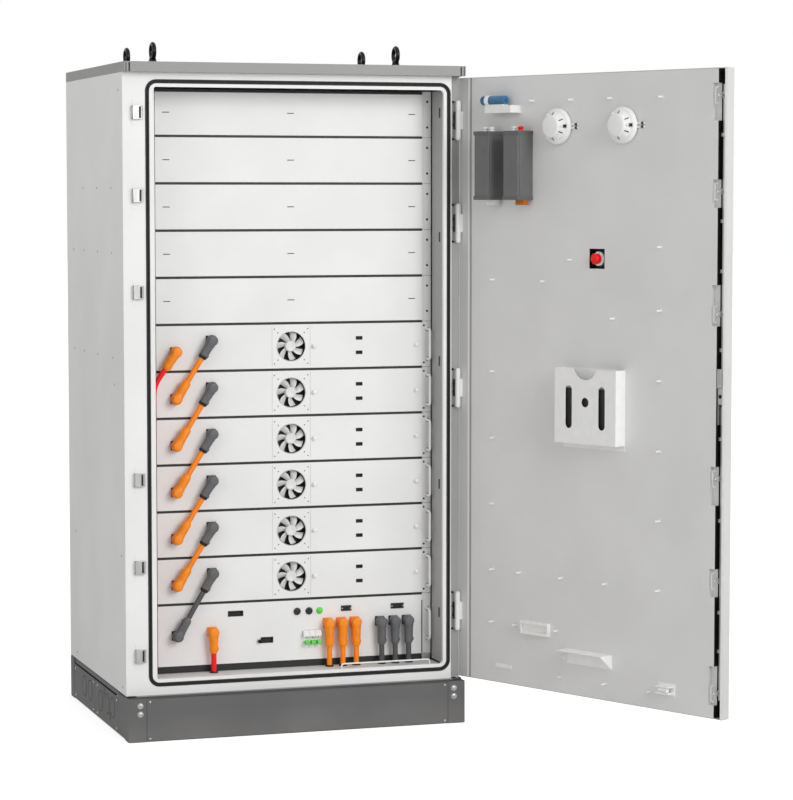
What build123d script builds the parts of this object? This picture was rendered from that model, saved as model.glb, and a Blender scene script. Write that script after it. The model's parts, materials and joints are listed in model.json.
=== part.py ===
"""Outdoor battery cabinet: plinth, sheet-metal body, open door, six rack battery modules and a control box."""

from build123d import *
import math
import os

os.makedirs("parts", exist_ok=True)

# Frame: X to the right seen from the front, Y from front to back, Z up.
# The origin is the centre of the footprint, on the ground.

# ---------------------------------------------------------------- cabinet
width = 1050.0
depth = 840.0
height = 2000.0
roof_height = 30.0
plinth_height = 130.0
plinth_gap = 4.0
sheet = 2.0
plate = 3.0
clearance = 0.3

# ---------------------------------------------------------------- door
door_thickness = 30.0
door_gap = 2.0
door_edge_gap = 3.0
door_open = 116.0
latch_margin = 9.0
liner_hinge_margin = 55.0
lock_channel = 23.0
lock_lip = 8.0
pivot_inset = 9.0
pivot_depth = 10.0
pin_radius = 4.0
pin_clearance = 0.05
knuckle_radius = 8.0
hinge_levels = (1838.0, 1527.0, 1026.0, 340.0)
hinge_block = 28.0
hinge_knuckle = 54.0

# ---------------------------------------------------------------- front frame
opening_shift = 15.5
opening_width = 901.0
opening_bottom = 180.0
opening_top = 1928.0
opening_radius = 12.0
lip_width = 10.0
gasket_width = 12.0
gasket_depth = 9.0
throat_depth = 108.0
keeper_levels = (1853.0, 1611.0, 1328.0, 776.0, 517.0, 253.0)
keeper_width = 26.0
keeper_height = 42.0
keeper_reach = 13.0
keeper_inset = 41.0

# ---------------------------------------------------------------- rack
row_pitch = 140.3
row_gap = 2.6
face_width = 836.0
control_height = 187.0
blank_rows = 5
module_rows = 6
ear_width = 30.0
ear_step = 5.0
module_depth = 520.0
upright_depth = 40.0
floor_level = 165.0

# ---------------------------------------------------------------- fans
fan_aperture = 45.0
fan_frame = 119.0
fan_frame_depth = 26.0
rotor_radius = 43.0
rotor_depth = 20.0
hub_radius = 17.0
blade_count = 7
blade_pitch = math.radians(50)
blade_chord = 26.0
blade_half = 0.9
fan_shaft_radius = 3.0

# ---------------------------------------------------------------- cables
cable_radius = 8.0
head_radius = 17.0
head_length = 38.0
body_radius = 12.0
dark_head_x = -236.0
orange_head_x = -346.0
dark_head_rise = 22.0
orange_head_drop = 11.0

# ================================================================ derived places
half_w = width / 2
front = -depth / 2
back = depth / 2
body_front = front + door_thickness + door_gap
body_bottom = plinth_height + plinth_gap
roof_bottom = height - roof_height
face_y = body_front + throat_depth
ear_y = face_y + ear_step

opening_left = opening_shift - opening_width / 2
opening_right = opening_shift + opening_width / 2
gasket_left = opening_left - lip_width - gasket_width
gasket_right = opening_right + lip_width + gasket_width
gasket_bottom = opening_bottom - lip_width - gasket_width
gasket_top = opening_top + lip_width + gasket_width

pivot_x = half_w - pivot_inset
pivot_y = body_front + pivot_depth
hinge_axis = Axis((pivot_x, pivot_y, 0), (0, 0, 1))
door_inner = body_front - door_gap
door_outer = front
door_right = half_w - door_edge_gap
door_left = -half_w + latch_margin
door_bottom = body_bottom + door_edge_gap
door_top = roof_bottom - door_edge_gap - 1
liner_right = door_right - liner_hinge_margin + door_edge_gap
channel_left = door_left + lock_lip
liner_left = channel_left + lock_channel

rack_top = opening_top - clearance
face_left = opening_shift - face_width / 2
face_right = opening_shift + face_width / 2
row_tops = [rack_top - row_pitch * row for row in range(blank_rows + module_rows + 1)]
blank_tops = row_tops[:blank_rows]
module_tops = row_tops[blank_rows:blank_rows + module_rows]
control_top = row_tops[-1]
control_bottom = control_top - control_height
module_height = row_pitch - row_gap
module_middles = [top - row_gap / 2 - module_height / 2 for top in module_tops]
control_middle = (control_top + control_bottom) / 2


# ================================================================ helpers
def block(x, y, z, mode=Mode.ADD):
    """A box given by its extents along the three axes."""
    with Locations(((x[0] + x[1]) / 2, (y[0] + y[1]) / 2, (z[0] + z[1]) / 2)):
        Box(x[1] - x[0], y[1] - y[0], z[1] - z[0], mode=mode)


def rod_x(x, y, z, radius, mode=Mode.ADD):
    """A cylinder along X between two x values."""
    with Locations(Location(((x[0] + x[1]) / 2, y, z), (0, 90, 0))):
        Cylinder(radius, x[1] - x[0], mode=mode)


def rod_y(x, y, z, radius, mode=Mode.ADD):
    """A cylinder along Y between two y values."""
    with Locations(Location((x, (y[0] + y[1]) / 2, z), (90, 0, 0))):
        Cylinder(radius, y[1] - y[0], mode=mode)


def rod_z(x, y, z, radius, mode=Mode.ADD):
    """A cylinder along Z between two z values."""
    with Locations((x, y, (z[0] + z[1]) / 2)):
        Cylinder(radius, z[1] - z[0], mode=mode)


def write(part, name):
    """Label a finished piece and write its STEP file."""
    part.label = name
    export_step(part, f"parts/{name}.step")


def write_on_door(part, name):
    """Swing a piece that was built on the closed door to the door's rest angle, then write it."""
    write(part.rotate(hinge_axis, door_open), name)


# ================================================================ plinth
post = 54.0
rail_height = 14.0
side_panel_length = 328.0
side_panel_front = front + 149.0
side_panel_height = 112.0
knockout_groove = 3.0
panel_bottom = 3.0
anchor_radius = 8.0
plinth_top_seam = plinth_height - panel_bottom

with BuildPart() as plinth_frame:
    with Locations((0, 0, plinth_height / 2)):
        with GridLocations(width - post, depth - post, 2, 2):
            Box(post, post, plinth_height)
            Box(post - 2 * plate, post - 2 * plate, plinth_height - 2 * plate, mode=Mode.SUBTRACT)
    for level in (rail_height / 2, plinth_height - rail_height / 2):
        with Locations((0, 0, level)):
            Box(width - 2 * plate, depth - 2 * plate, rail_height)
            Box(width - 2 * post, depth - 2 * post, rail_height, mode=Mode.SUBTRACT)
    with Locations((0, 0, rail_height / 2)):
        with GridLocations(width - post, depth - post, 2, 2):
            Cylinder(anchor_radius, rail_height, mode=Mode.SUBTRACT)
write(plinth_frame.part, "plinth_frame")


def knockout(x, y, z, radius):
    """A punched ring in a side panel whose outer face is at x: the disc stays, held by a thin web."""
    side = 1 if x > 0 else -1
    with BuildSketch(Plane((x, y, z), z_dir=(side, 0, 0))) as groove:
        Circle(radius)
        Circle(radius - knockout_groove, mode=Mode.SUBTRACT)
    extrude(groove.sketch, amount=-plate * 0.7, mode=Mode.SUBTRACT)


with BuildPart() as plinth_panels:
    for side in (-1, 1):
        y_face = side * depth / 2
        block((-half_w + post, half_w - post), sorted((y_face, y_face - side * (plate - clearance))),
              (panel_bottom, plinth_top_seam))
    for side in (-1, 1):
        x_face = side * half_w
        x_span = sorted((x_face, x_face - side * (plate - clearance)))
        filler_span = (-depth / 2 + post, side_panel_front - clearance)
        block(x_span, filler_span, (panel_bottom, plinth_top_seam))
        for index in range(2):
            start = side_panel_front + index * side_panel_length
            block(x_span, (start + 1, start + side_panel_length - 1 - index * 22),
                  (panel_bottom, side_panel_height))
        for y_offset, level, radius in ((70, 68, 33), (150, 66, 33), (240, 60, 33),
                                        (395, 66, 33), (480, 66, 33)):
            knockout(x_face, side_panel_front + y_offset, level, radius)
        for y_offset, level in ((110, 36), (195, 98)):
            knockout(x_face, side_panel_front + y_offset, level, 12)
write(plinth_panels.part, "plinth_panels")

bolt_x = half_w - 35
with BuildPart() as plinth_bolts:
    for x in (-bolt_x, bolt_x):
        for side in (-1, 1):
            for level in (84, 109):
                rod_y(x, sorted((side * depth / 2, side * (depth / 2 + 3.5))), level, 6)
                rod_y(x, sorted((side * depth / 2, side * (depth / 2 + 1.2))), level, 9)
    for x in (-half_w + post + 10, half_w - post - 10):
        for side in (-1, 1):
            for level in (panel_bottom + 6, plinth_top_seam - 8):
                rod_y(x, sorted((side * depth / 2, side * (depth / 2 + 1.5))), level, 3.5)
    for side in (-1, 1):
        for index in range(2):
            for end in (16, side_panel_length - 40):
                y = side_panel_front + index * side_panel_length + end
                for level in (14, side_panel_height - 12):
                    rod_x(sorted((side * half_w, side * (half_w + 2))), y, level, 4)
write(plinth_bolts.part, "plinth_bolts")

# ================================================================ body shell
spacer_margin = 30.0
spacer_width = 30.0
base_margin = 64.0
side_front = body_front + plate
rebate_depth = 24.0
rebate_y = body_front + rebate_depth
rivet_rows = ((1634.0, (171, -28, -228)), (1441.0, (322, 167, -31, -232)), (1129.0, (318, 171, -26, -237)))
rivet_singles = ((-331, 1919.5), (-255, 1050), (-338, 547), (-341, 153.5), (327, 544), (320, 156))
rivet_radius = 3.0


def side_panel(side, front_edge):
    """One side wall, a sheet with a bent rear flange and shallow rivet dimples."""
    outer = side * half_w
    inner = side * (half_w - sheet)
    with BuildPart() as wall:
        block(sorted((outer, inner)), (front_edge, back - sheet - clearance), (body_bottom, roof_bottom))
        for level, places in rivet_rows:
            for y in places:
                rod_x(sorted((outer, outer - side * 1.2)), y, level, rivet_radius, Mode.SUBTRACT)
        for y, level in rivet_singles:
            rod_x(sorted((outer, outer - side * 1.2)), y, level, rivet_radius, Mode.SUBTRACT)
    return wall.part


write(side_panel(-1, side_front + clearance), "left_side_panel")
write(side_panel(1, rebate_y + plate + clearance), "right_side_panel")

inside_w = half_w - sheet
with BuildPart() as rear_panel:
    block((-half_w, half_w), (back - sheet, back), (body_bottom, roof_bottom))
    block((-inside_w + 1, inside_w - 1), (back - sheet - 12, back - sheet), (body_bottom, body_bottom + sheet))
write(rear_panel.part, "rear_panel")

cable_y = face_y - head_length + head_radius - 2
down_x = [dark_head_x] + [128.0 + 43.0 * i for i in range(3)] + [296.0 + 43.5 * i for i in range(3)]
gland_places = down_x + [opening_left + 10]
gland_radius = 11.0

floor_front = rebate_y + plate + clearance

with BuildPart() as floor_pan:
    block((-inside_w + clearance, inside_w - clearance), (floor_front, back - sheet - 13),
          (floor_level - plate, floor_level))
    for side in (-1, 1):
        edge = side * (inside_w - clearance)
        block(sorted((edge, edge - side * plate)), (floor_front, back - sheet - 13),
              (body_bottom, floor_level))
    for x in gland_places:
        rod_z(x, cable_y, (floor_level - plate, floor_level), gland_radius, Mode.SUBTRACT)
    with Locations((0, 0, plinth_height + plinth_gap / 2)):
        Box(width - 2 * spacer_margin, depth - 2 * spacer_margin, plinth_gap)
        Box(width - 2 * (spacer_margin + spacer_width), depth - 2 * (spacer_margin + spacer_width), plinth_gap,
            mode=Mode.SUBTRACT)
    with Locations((0, 0, body_bottom + plate / 2)):
        Box(width - 2 * sheet - 2 * plate - 2 * clearance, depth - 2 * base_margin, plate)
        Box(width - 4 * base_margin, depth - 4 * base_margin, plate, mode=Mode.SUBTRACT)
write(floor_pan.part, "floor_pan")

with BuildPart() as ceiling_panel:
    block((-inside_w + clearance, inside_w - clearance), (floor_front, back - sheet - clearance),
          (roof_bottom - sheet, roof_bottom))
write(ceiling_panel.part, "ceiling_panel")

# ================================================================ front frame and gasket


def rounded_frame(outer_margin, inner_margin, y_from, y_to, mode=Mode.ADD):
    """A ring around the door opening, given by its margins from the opening's edge."""
    centre_z = (opening_bottom + opening_top) / 2
    opening_height = opening_top - opening_bottom
    with BuildSketch(Plane((opening_shift, y_from, centre_z), x_dir=(1, 0, 0), z_dir=(0, 1, 0))) as section:
        RectangleRounded(opening_width + 2 * outer_margin, opening_height + 2 * outer_margin,
                         opening_radius + outer_margin)
        RectangleRounded(opening_width + 2 * inner_margin, opening_height + 2 * inner_margin,
                         opening_radius + inner_margin, mode=Mode.SUBTRACT)
    extrude(section.sketch, amount=y_to - y_from, mode=mode)


frame_left = -half_w
frame_right = gasket_right + plate
channel_back = body_front + gasket_depth + plate
throat_wall = 2.0
slot_levels = (1861.0, 1485.0, 1107.0, 730.0, 334.0)

with BuildPart() as front_frame:
    block((frame_left, frame_right), (body_front, body_front + plate), (body_bottom, roof_bottom))
    rounded_frame(lip_width + gasket_width + 2, 0, body_front, channel_back)
    with BuildSketch(Plane((opening_shift, body_front, (opening_bottom + opening_top) / 2),
                           x_dir=(1, 0, 0), z_dir=(0, 1, 0))):
        RectangleRounded(opening_width, opening_top - opening_bottom, opening_radius)
    extrude(amount=channel_back - body_front, mode=Mode.SUBTRACT)
    rounded_frame(lip_width + gasket_width, lip_width, body_front, body_front + gasket_depth, Mode.SUBTRACT)
    block((frame_right - plate, frame_right), (body_front, rebate_y + plate), (body_bottom, roof_bottom))
    block((frame_right - plate, half_w), (rebate_y, rebate_y + plate), (body_bottom, roof_bottom))
    for x in (opening_left - throat_wall, opening_right):
        block((x, x + throat_wall), (channel_back, face_y - 1), (opening_bottom + 20, opening_top - 20))
    for level in slot_levels:
        for x in (opening_left - throat_wall, opening_right):
            block((x, x + throat_wall), (body_front + 31, body_front + 43), (level - 14, level + 14), Mode.SUBTRACT)
write(front_frame.part, "front_frame")

with BuildPart() as door_gasket:
    rounded_frame(lip_width + gasket_width - clearance, lip_width + clearance,
                  body_front - door_gap + clearance, body_front + gasket_depth)
    rounded_frame(lip_width + gasket_width - 4.5, lip_width + 4.5,
                  body_front - door_gap + clearance, body_front + 2.5, Mode.SUBTRACT)
write(door_gasket.part, "door_gasket")

# ================================================================ roof
eye_x = 383.0
eye_y = 175.0
eye_ring = 22.0
eye_wire = 6.5
eye_collar = 20.0
eye_collar_height = 9.0
eye_centre = height + 70.0 - eye_ring - eye_wire

with BuildPart() as roof_cap:
    with Locations((0, 0, height - roof_height / 2)):
        Box(width, depth, roof_height)
    with Locations((0, 0, height - plate - (roof_height - plate) / 2)):
        Box(width - 2 * plate, depth - 2 * plate, roof_height - plate, mode=Mode.SUBTRACT)
    for side in (-1, 1):
        for inset, slot in ((3.5, 2.5), (12.0, 5.0)):
            x = side * (half_w - inset - slot / 2)
            block((x - slot / 2, x + slot / 2), (front, front + plate), (roof_bottom, height - 3), Mode.SUBTRACT)
    block((-half_w + plate, half_w - plate), (front + plate, body_front + plate),
          (roof_bottom, roof_bottom + plate))
write(roof_cap.part, "roof_cap")

with BuildPart() as lifting_eyes:
    with Locations((0, 0, height + eye_collar_height / 2)):
        with GridLocations(2 * eye_x, 2 * eye_y, 2, 2):
            Cylinder(eye_collar, eye_collar_height)
    with Locations((0, 0, height + eye_collar_height)):
        with GridLocations(2 * eye_x, 2 * eye_y, 2, 2):
            Cylinder(11, 14)
    with Locations((0, 0, eye_centre)):
        with GridLocations(2 * eye_x, 2 * eye_y, 2, 2):
            Torus(eye_ring, eye_wire, rotation=(0, 90, 0))
write(lifting_eyes.part, "lifting_eyes")

# ================================================================ keepers and hinges
keeper_x = -half_w + keeper_inset
keeper_wall = 3.0
with BuildPart() as lock_keepers:
    for level in keeper_levels:
        y_range = (body_front - keeper_reach, body_front)
        block((keeper_x - keeper_width / 2, keeper_x + keeper_width / 2), y_range,
              (level - keeper_height / 2, level + keeper_height / 2))
        block((keeper_x - keeper_width / 2 + keeper_wall, keeper_x + keeper_width / 2 - keeper_wall),
              (body_front - keeper_reach, body_front - keeper_wall),
              (level - keeper_height / 2, level + keeper_height / 2), Mode.SUBTRACT)
        for end in (-1, 1):
            block((keeper_x - keeper_width / 2, keeper_x + keeper_width / 2), (body_front - 1.5, body_front),
                  sorted((level + end * keeper_height / 2, level + end * (keeper_height / 2 + 18))))
write(lock_keepers.part, "lock_keepers")

with BuildPart() as frame_hinges:
    for level in hinge_levels:
        for end in (-1, 1):
            near = level + end * (hinge_knuckle / 2 + clearance)
            z_range = sorted((near, near + end * hinge_block))
            block((pivot_x - knuckle_radius, pivot_x + knuckle_radius), (pivot_y, rebate_y), z_range)
            rod_z(pivot_x, pivot_y, z_range, knuckle_radius)
            rod_z(pivot_x, pivot_y, z_range, pin_radius, Mode.SUBTRACT)
        reach = hinge_knuckle / 2 + clearance + hinge_block
        rod_z(pivot_x, pivot_y, (level - reach, level + reach), pin_radius)
        for end in (-1, 1):
            rod_z(pivot_x, pivot_y, sorted((level + end * reach, level + end * (reach + 4))), pin_radius + 2)
write(frame_hinges.part, "frame_hinges")

with BuildPart() as door_hinge_knuckles:
    for level in hinge_levels:
        z_range = (level - hinge_knuckle / 2, level + hinge_knuckle / 2)
        block((pivot_x - knuckle_radius, pivot_x + 5), (door_inner, pivot_y), z_range)
        rod_z(pivot_x, pivot_y, z_range, knuckle_radius)
        rod_z(pivot_x, pivot_y, z_range, pin_radius + pin_clearance, Mode.SUBTRACT)
write_on_door(door_hinge_knuckles.part, "door_hinge_knuckles")

# ================================================================ rack
upright_inner_left = face_left - ear_width
upright_inner_right = face_right + ear_width
upright_y = ear_y + sheet + clearance
rear_upright_y = face_y + module_depth - upright_depth
upright_hole = 2.5

with BuildPart() as rack_uprights:
    for edge, side in ((upright_inner_left, -1), (upright_inner_right, 1)):
        for start in (upright_y, rear_upright_y):
            block(sorted((edge, edge - side * (ear_width - 3))), (start, start + sheet), (floor_level, rack_top))
            block(sorted((edge, edge - side * sheet)), (start, start + upright_depth), (floor_level, rack_top))
write(rack_uprights.part, "rack_uprights")

runner_span = (upright_y + sheet, rear_upright_y)
runner_inner = 22.0
with BuildPart() as rack_runners:
    for edge, side in ((upright_inner_left, -1), (upright_inner_right, 1)):
        wall = side * (inside_w - clearance)
        for level in (260, 560, 860, 1160, 1460, 1760):
            block(sorted((edge + side * clearance, wall)), (rear_upright_y, rear_upright_y + 20),
                  (level, level + 20))
            block(sorted((edge + side * clearance, wall)), (upright_y + 8, upright_y + 28),
                  (level, level + 20))

    for edge, side in ((upright_inner_left, -1), (upright_inner_right, 1)):
        wall = edge - side * (sheet + clearance)
        for top in module_tops + [control_top]:
            bottom = control_bottom if top == control_top else top - row_pitch
            level = bottom + row_gap / 2 - clearance
            block(sorted((wall, wall - side * runner_inner)), runner_span, (level - sheet, level))
            block(sorted((wall, wall - side * sheet)), runner_span, (level - sheet, level + 22))
write(rack_runners.part, "rack_runners")

slot_width = 22.0
slot_height = 2.6
slot_offset = 385.0
with BuildPart() as blank_panels:
    for top in blank_tops:
        z_range = (top - row_gap / 2 - module_height, top - row_gap / 2)
        block((face_left, face_right), (face_y, face_y + sheet), z_range)
        for x in (face_left, face_right - sheet):
            block((x, x + sheet), (face_y, ear_y + sheet), z_range)
        block((face_left - ear_width, face_left + sheet), (ear_y, ear_y + sheet), z_range)
        block((face_right - sheet, face_right + ear_width), (ear_y, ear_y + sheet), z_range)
        middle = (z_range[0] + z_range[1]) / 2
        for offset in (-slot_offset, 0, slot_offset):
            block((opening_shift + offset - slot_width / 2, opening_shift + offset + slot_width / 2),
                  (face_y, face_y + sheet), (middle - slot_height / 2, middle + slot_height / 2), Mode.SUBTRACT)
        for x in (face_left - ear_width + 12, face_right + ear_width - 12):
            for offset in (-39, 39):
                rod_y(x, (ear_y, ear_y + sheet), middle + offset, upright_hole, Mode.SUBTRACT)
write(blank_panels.part, "blank_panels")

# ================================================================ battery modules
port_places = ((231.0, 22.0), (231.0, -22.0))
port_width = 20.0
port_height = 9.5


def module_case(bottom, top, case_depth):
    """The sheet-metal case of one rack unit: a closed shell behind a front plate with two ears."""
    block((face_left, face_right), (face_y, face_y + sheet), (bottom, top))
    for x in (face_left, face_right - sheet):
        block((x, x + sheet), (face_y, ear_y + sheet), (bottom, top))
    block((face_left - ear_width, face_left + sheet), (ear_y, ear_y + sheet), (bottom, top))
    block((face_right - sheet, face_right + ear_width), (ear_y, ear_y + sheet), (bottom, top))
    block((face_left, face_right), (face_y, face_y + case_depth), (bottom, top))
    block((face_left + sheet, face_right - sheet), (face_y + sheet, face_y + case_depth - sheet),
          (bottom + sheet, top - sheet), Mode.SUBTRACT)


def socket_hole(x, level):
    """A round seat for a power connector in a front plate."""
    rod_y(x, (face_y, face_y + sheet), level, head_radius - 4, Mode.SUBTRACT)


def battery_module(middle):
    """One battery module's case."""
    with BuildPart() as case:
        module_case(middle - module_height / 2, middle + module_height / 2, module_depth)
        rod_y(opening_shift, (face_y, face_y + sheet), middle, fan_aperture, Mode.SUBTRACT)
        for x, offset in port_places:
            block((x - port_width / 2, x + port_width / 2), (face_y, face_y + sheet),
                  (middle + offset - port_height / 2, middle + offset + port_height / 2), Mode.SUBTRACT)
        socket_hole(dark_head_x, middle + dark_head_rise)
        socket_hole(orange_head_x, middle - orange_head_drop)
    return case.part


for index, middle in enumerate(module_middles):
    write(battery_module(middle), f"battery_module_{index + 1}")

# Fan frames sit behind the front plates and carry the rotor shafts.
fan_front = face_y + sheet
spider = 5.0
rotor_front = fan_front + 2
rotor_back = rotor_front + rotor_depth
hub_cap = 3.0
shaft_start = rotor_front + hub_cap + clearance
with BuildPart() as fan_frames:
    for middle in module_middles:
        block((opening_shift - fan_frame / 2, opening_shift + fan_frame / 2), (fan_front, fan_front + fan_frame_depth),
              (middle - fan_frame / 2, middle + fan_frame / 2))
        rod_y(opening_shift, (fan_front, fan_front + fan_frame_depth), middle, fan_aperture, Mode.SUBTRACT)
        spider_y = (rotor_back + 1, fan_front + fan_frame_depth)
        rod_y(opening_shift, spider_y, middle, hub_radius)
        block((opening_shift - fan_aperture - 1, opening_shift + fan_aperture + 1), spider_y,
              (middle - spider / 2, middle + spider / 2))
        block((opening_shift - spider / 2, opening_shift + spider / 2), spider_y,
              (middle - fan_aperture - 1, middle + fan_aperture + 1))
        rod_y(opening_shift, (shaft_start, rotor_back + 2), middle, fan_shaft_radius)
write(fan_frames.part, "fan_frames")


def fan_rotor(middle):
    """A hub with pitched blades on the fan's shaft."""
    with BuildPart() as rotor:
        rod_y(opening_shift, (rotor_front, rotor_back), middle, hub_radius)
        for step in range(blade_count):
            angle = 2 * math.pi / blade_count * step
            blade_plane = Plane((opening_shift, (rotor_front + rotor_back) / 2, middle),
                                x_dir=(math.cos(angle), 0, math.sin(angle)),
                                z_dir=(-math.sin(angle) * math.cos(blade_pitch), math.sin(blade_pitch),
                                       math.cos(angle) * math.cos(blade_pitch)))
            with BuildSketch(blade_plane):
                with Locations(((hub_radius + rotor_radius) / 2 - 1, 0)):
                    Rectangle(rotor_radius - hub_radius, blade_chord)
            extrude(amount=blade_half, both=True)
        rod_y(opening_shift, (rotor_front + hub_cap, rotor_back), middle, fan_shaft_radius + pin_clearance, Mode.SUBTRACT)
    return rotor.part


for index, middle in enumerate(module_middles):
    write(fan_rotor(middle), f"fan_rotor_{index + 1}")

knob_places = (87.0, 414.0)
with BuildPart() as module_knobs:
    for middle in module_middles:
        for x in knob_places:
            rod_y(x, (face_y - 9, face_y), middle, 6)
            rod_y(x, (face_y - 12, face_y - 9), middle, 4.5)
write(module_knobs.part, "module_knobs")

handle_x = face_right + 18
handle_span = 92.0
handle_reach = 30.0
handle_bar = 4.0
with BuildPart() as module_handles:
    for middle in module_middles + [control_middle]:
        low = middle - handle_span / 2
        high = middle + handle_span / 2
        for level in (low, high):
            rod_y(handle_x, (ear_y - handle_reach, ear_y), level, handle_bar)
            rod_y(handle_x, (ear_y - 2.5, ear_y), level, handle_bar + 3)
        rod_z(handle_x, ear_y - handle_reach, (low - handle_bar, high + handle_bar), handle_bar)
write(module_handles.part, "module_handles")

# ================================================================ control box
button_places = (32.0, 70.0)
lamp_x = 103.0
button_level = control_top - 38.0
button_radius = 9.0
button_collar = 11.5
button_travel = 4.0
breaker_x = (49.0, 106.0)
breaker_z = (control_bottom + 36, control_bottom + 90)
toggle_z = breaker_z[0] + 20
port_level = control_top - 35.0
dsub_places = ((172.0, 205.0), (332.0, 374.0))
meter_port = (-186.0, -138.0)
latch_port = (-83.0, -44.0)
latch_z = (control_bottom + 57, control_bottom + 75)
control_depth = 420.0
control_head_level = control_bottom + 100.0
control_orange_x = down_x[1:4]
control_dark_x = down_x[4:7]

with BuildPart() as control_box:
    module_case(control_bottom, control_top - row_gap / 2, control_depth)
    for x in button_places:
        rod_y(x, (face_y, face_y + sheet), button_level, button_radius - 2, Mode.SUBTRACT)
    for low, high in dsub_places:
        block((low + 3, high - 3), (face_y, face_y + sheet), (port_level - 6, port_level + 6), Mode.SUBTRACT)
    block(meter_port, (face_y, face_y + sheet), (port_level - 8, port_level + 8), Mode.SUBTRACT)
    block(latch_port, (face_y, face_y + sheet), latch_z, Mode.SUBTRACT)
    block((breaker_x[0] + 2, breaker_x[1] - 2), (face_y, face_y + sheet),
          (breaker_z[0] + 6, breaker_z[1] - 6), Mode.SUBTRACT)
    for x in [dark_head_x] + control_orange_x + control_dark_x:
        socket_hole(x, control_head_level)
    socket_hole(orange_head_x, control_middle)
write(control_box.part, "control_box")

with BuildPart() as control_ports:
    for low, high in dsub_places:
        block((low, high), (face_y - 2.5, face_y - 0.0), (port_level - 8.5, port_level + 8.5))
        block((low + 6, high - 6), (face_y - 6, face_y - 2.5), (port_level - 5, port_level + 5))
        block((low + 8, high - 8), (face_y - 6, face_y - 4), (port_level - 3, port_level + 3), Mode.SUBTRACT)
write(control_ports.part, "control_ports")


def push_button(x):
    """A round push button whose stem runs through the control box's front plate."""
    with BuildPart() as button:
        rod_y(x, (face_y - 5 - button_travel, face_y - button_travel - 0.5), button_level, button_radius)
        rod_y(x, (face_y - button_travel - 0.5, face_y + sheet + 8), button_level, button_radius - 2.1)
        rod_y(x, (face_y + sheet + clearance, face_y + sheet + 4), button_level, button_radius)
    return button.part


for name, x in (("start_button", button_places[0]), ("reset_button", button_places[1])):
    write(push_button(x), name)

with BuildPart() as status_lamp:
    rod_y(lamp_x, (face_y - 3, face_y), button_level, button_collar - 1)
    with Locations((lamp_x, face_y - 3, button_level)):
        Sphere(button_radius - 1)
    block((lamp_x - 20, lamp_x + 20), (face_y, face_y + 20), (button_level - 20, button_level + 20), Mode.SUBTRACT)
write(status_lamp.part, "status_lamp")

toggle_pivot_y = face_y - 9.0
toggle_radius = 7.0
with BuildPart() as breaker_housing:
    block(breaker_x, (face_y - 10, face_y), breaker_z)
    block((breaker_x[0], breaker_x[1]), (face_y - 16, face_y - 10), (breaker_z[1] - 16, breaker_z[1] - 4))
    block((breaker_x[0] + 3, breaker_x[1] - 3), (face_y - 20, face_y - 1), (toggle_z - 10, toggle_z + 10),
          Mode.SUBTRACT)
    rod_x(breaker_x, toggle_pivot_y, toggle_z, 2)
write(breaker_housing.part, "breaker_housing")

with BuildPart() as breaker_toggle:
    rod_x((breaker_x[0] + 3.5, breaker_x[1] - 3.5), toggle_pivot_y, toggle_z, toggle_radius - 0.5)
    for pole in range(3):
        centre = breaker_x[0] + 9.5 + 19 * pole
        block((centre - 6.5, centre + 6.5), (toggle_pivot_y - 16, toggle_pivot_y - 3), (toggle_z - 3.5, toggle_z + 3.5))
    block((breaker_x[0] + 9.5, breaker_x[0] + 47.5), (toggle_pivot_y - 14, toggle_pivot_y - 11),
          (toggle_z - 2, toggle_z + 2))
    rod_x(breaker_x, toggle_pivot_y, toggle_z, 2 + pin_clearance, Mode.SUBTRACT)
write(breaker_toggle.part, "breaker_toggle")

# ================================================================ power connectors and cables
head_y = face_y - head_length
elbow_length = 62.0
elbow_step = 20.0


def connector(x, level, direction, length):
    """An elbow connector: a round head on the front plate and a body that leaves it along a direction."""
    rod_y(x, (head_y, face_y), level, head_radius)
    plane = Plane((x, cable_y, level), x_dir=(0, 1, 0), z_dir=direction)
    with BuildSketch(plane) as shoulder:
        Circle(head_radius - 2)
    extrude(shoulder.sketch, amount=elbow_step)
    with BuildSketch(plane) as body:
        Circle(body_radius)
    extrude(body.sketch, amount=length)


def cable_run(start, end):
    """A straight cable between two points."""
    direction = Vector(*end) - Vector(*start)
    with BuildSketch(Plane(start, z_dir=direction.normalized())) as section:
        Circle(cable_radius)
    extrude(section.sketch, amount=direction.length)


def along(start, direction, distance):
    """The point at a distance from another point."""
    return tuple(start[i] + direction[i] * distance for i in range(3))


dark_heads = [(dark_head_x, middle + dark_head_rise) for middle in module_middles]
orange_heads = [(orange_head_x, middle - orange_head_drop) for middle in module_middles]
jumper_ends = orange_heads[1:] + [(orange_head_x, control_middle)]
jumpers = []
for upper, lower in zip(dark_heads, jumper_ends):
    run = Vector(lower[0] - upper[0], 0, lower[1] - upper[1]).normalized()
    jumpers.append((upper, lower, (run.X, 0, run.Z)))

down = (0, 0, -1)
red_x = opening_left + 10
red_turn = Vector(red_x - orange_head_x, 0, -112).normalized()
red_direction = (red_turn.X, 0, red_turn.Z)

with BuildPart() as dark_connectors:
    for upper, lower, run in jumpers:
        connector(upper[0], upper[1], run, elbow_length)
    upper, lower, run = jumpers[-1]
    connector(lower[0], lower[1], tuple(-value for value in run), elbow_length)
    for x in control_dark_x:
        connector(x, control_head_level, down, elbow_length)
write(dark_connectors.part, "dark_connectors")

with BuildPart() as orange_connectors:
    connector(orange_heads[0][0], orange_heads[0][1], red_direction, elbow_length)
    for upper, lower, run in jumpers[:-1]:
        connector(lower[0], lower[1], tuple(-value for value in run), elbow_length)
    for x in [dark_head_x] + control_orange_x:
        connector(x, control_head_level, down, elbow_length)
write(orange_connectors.part, "orange_connectors")

gland_height = 16.0
gland_top = floor_level + gland_height


def jumper_cable(upper, lower, run):
    """The straight cable between two elbow connectors."""
    start = along((upper[0], cable_y, upper[1]), run, elbow_length)
    end = along((lower[0], cable_y, lower[1]), run, -elbow_length)
    cable_run(start, end)


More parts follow.
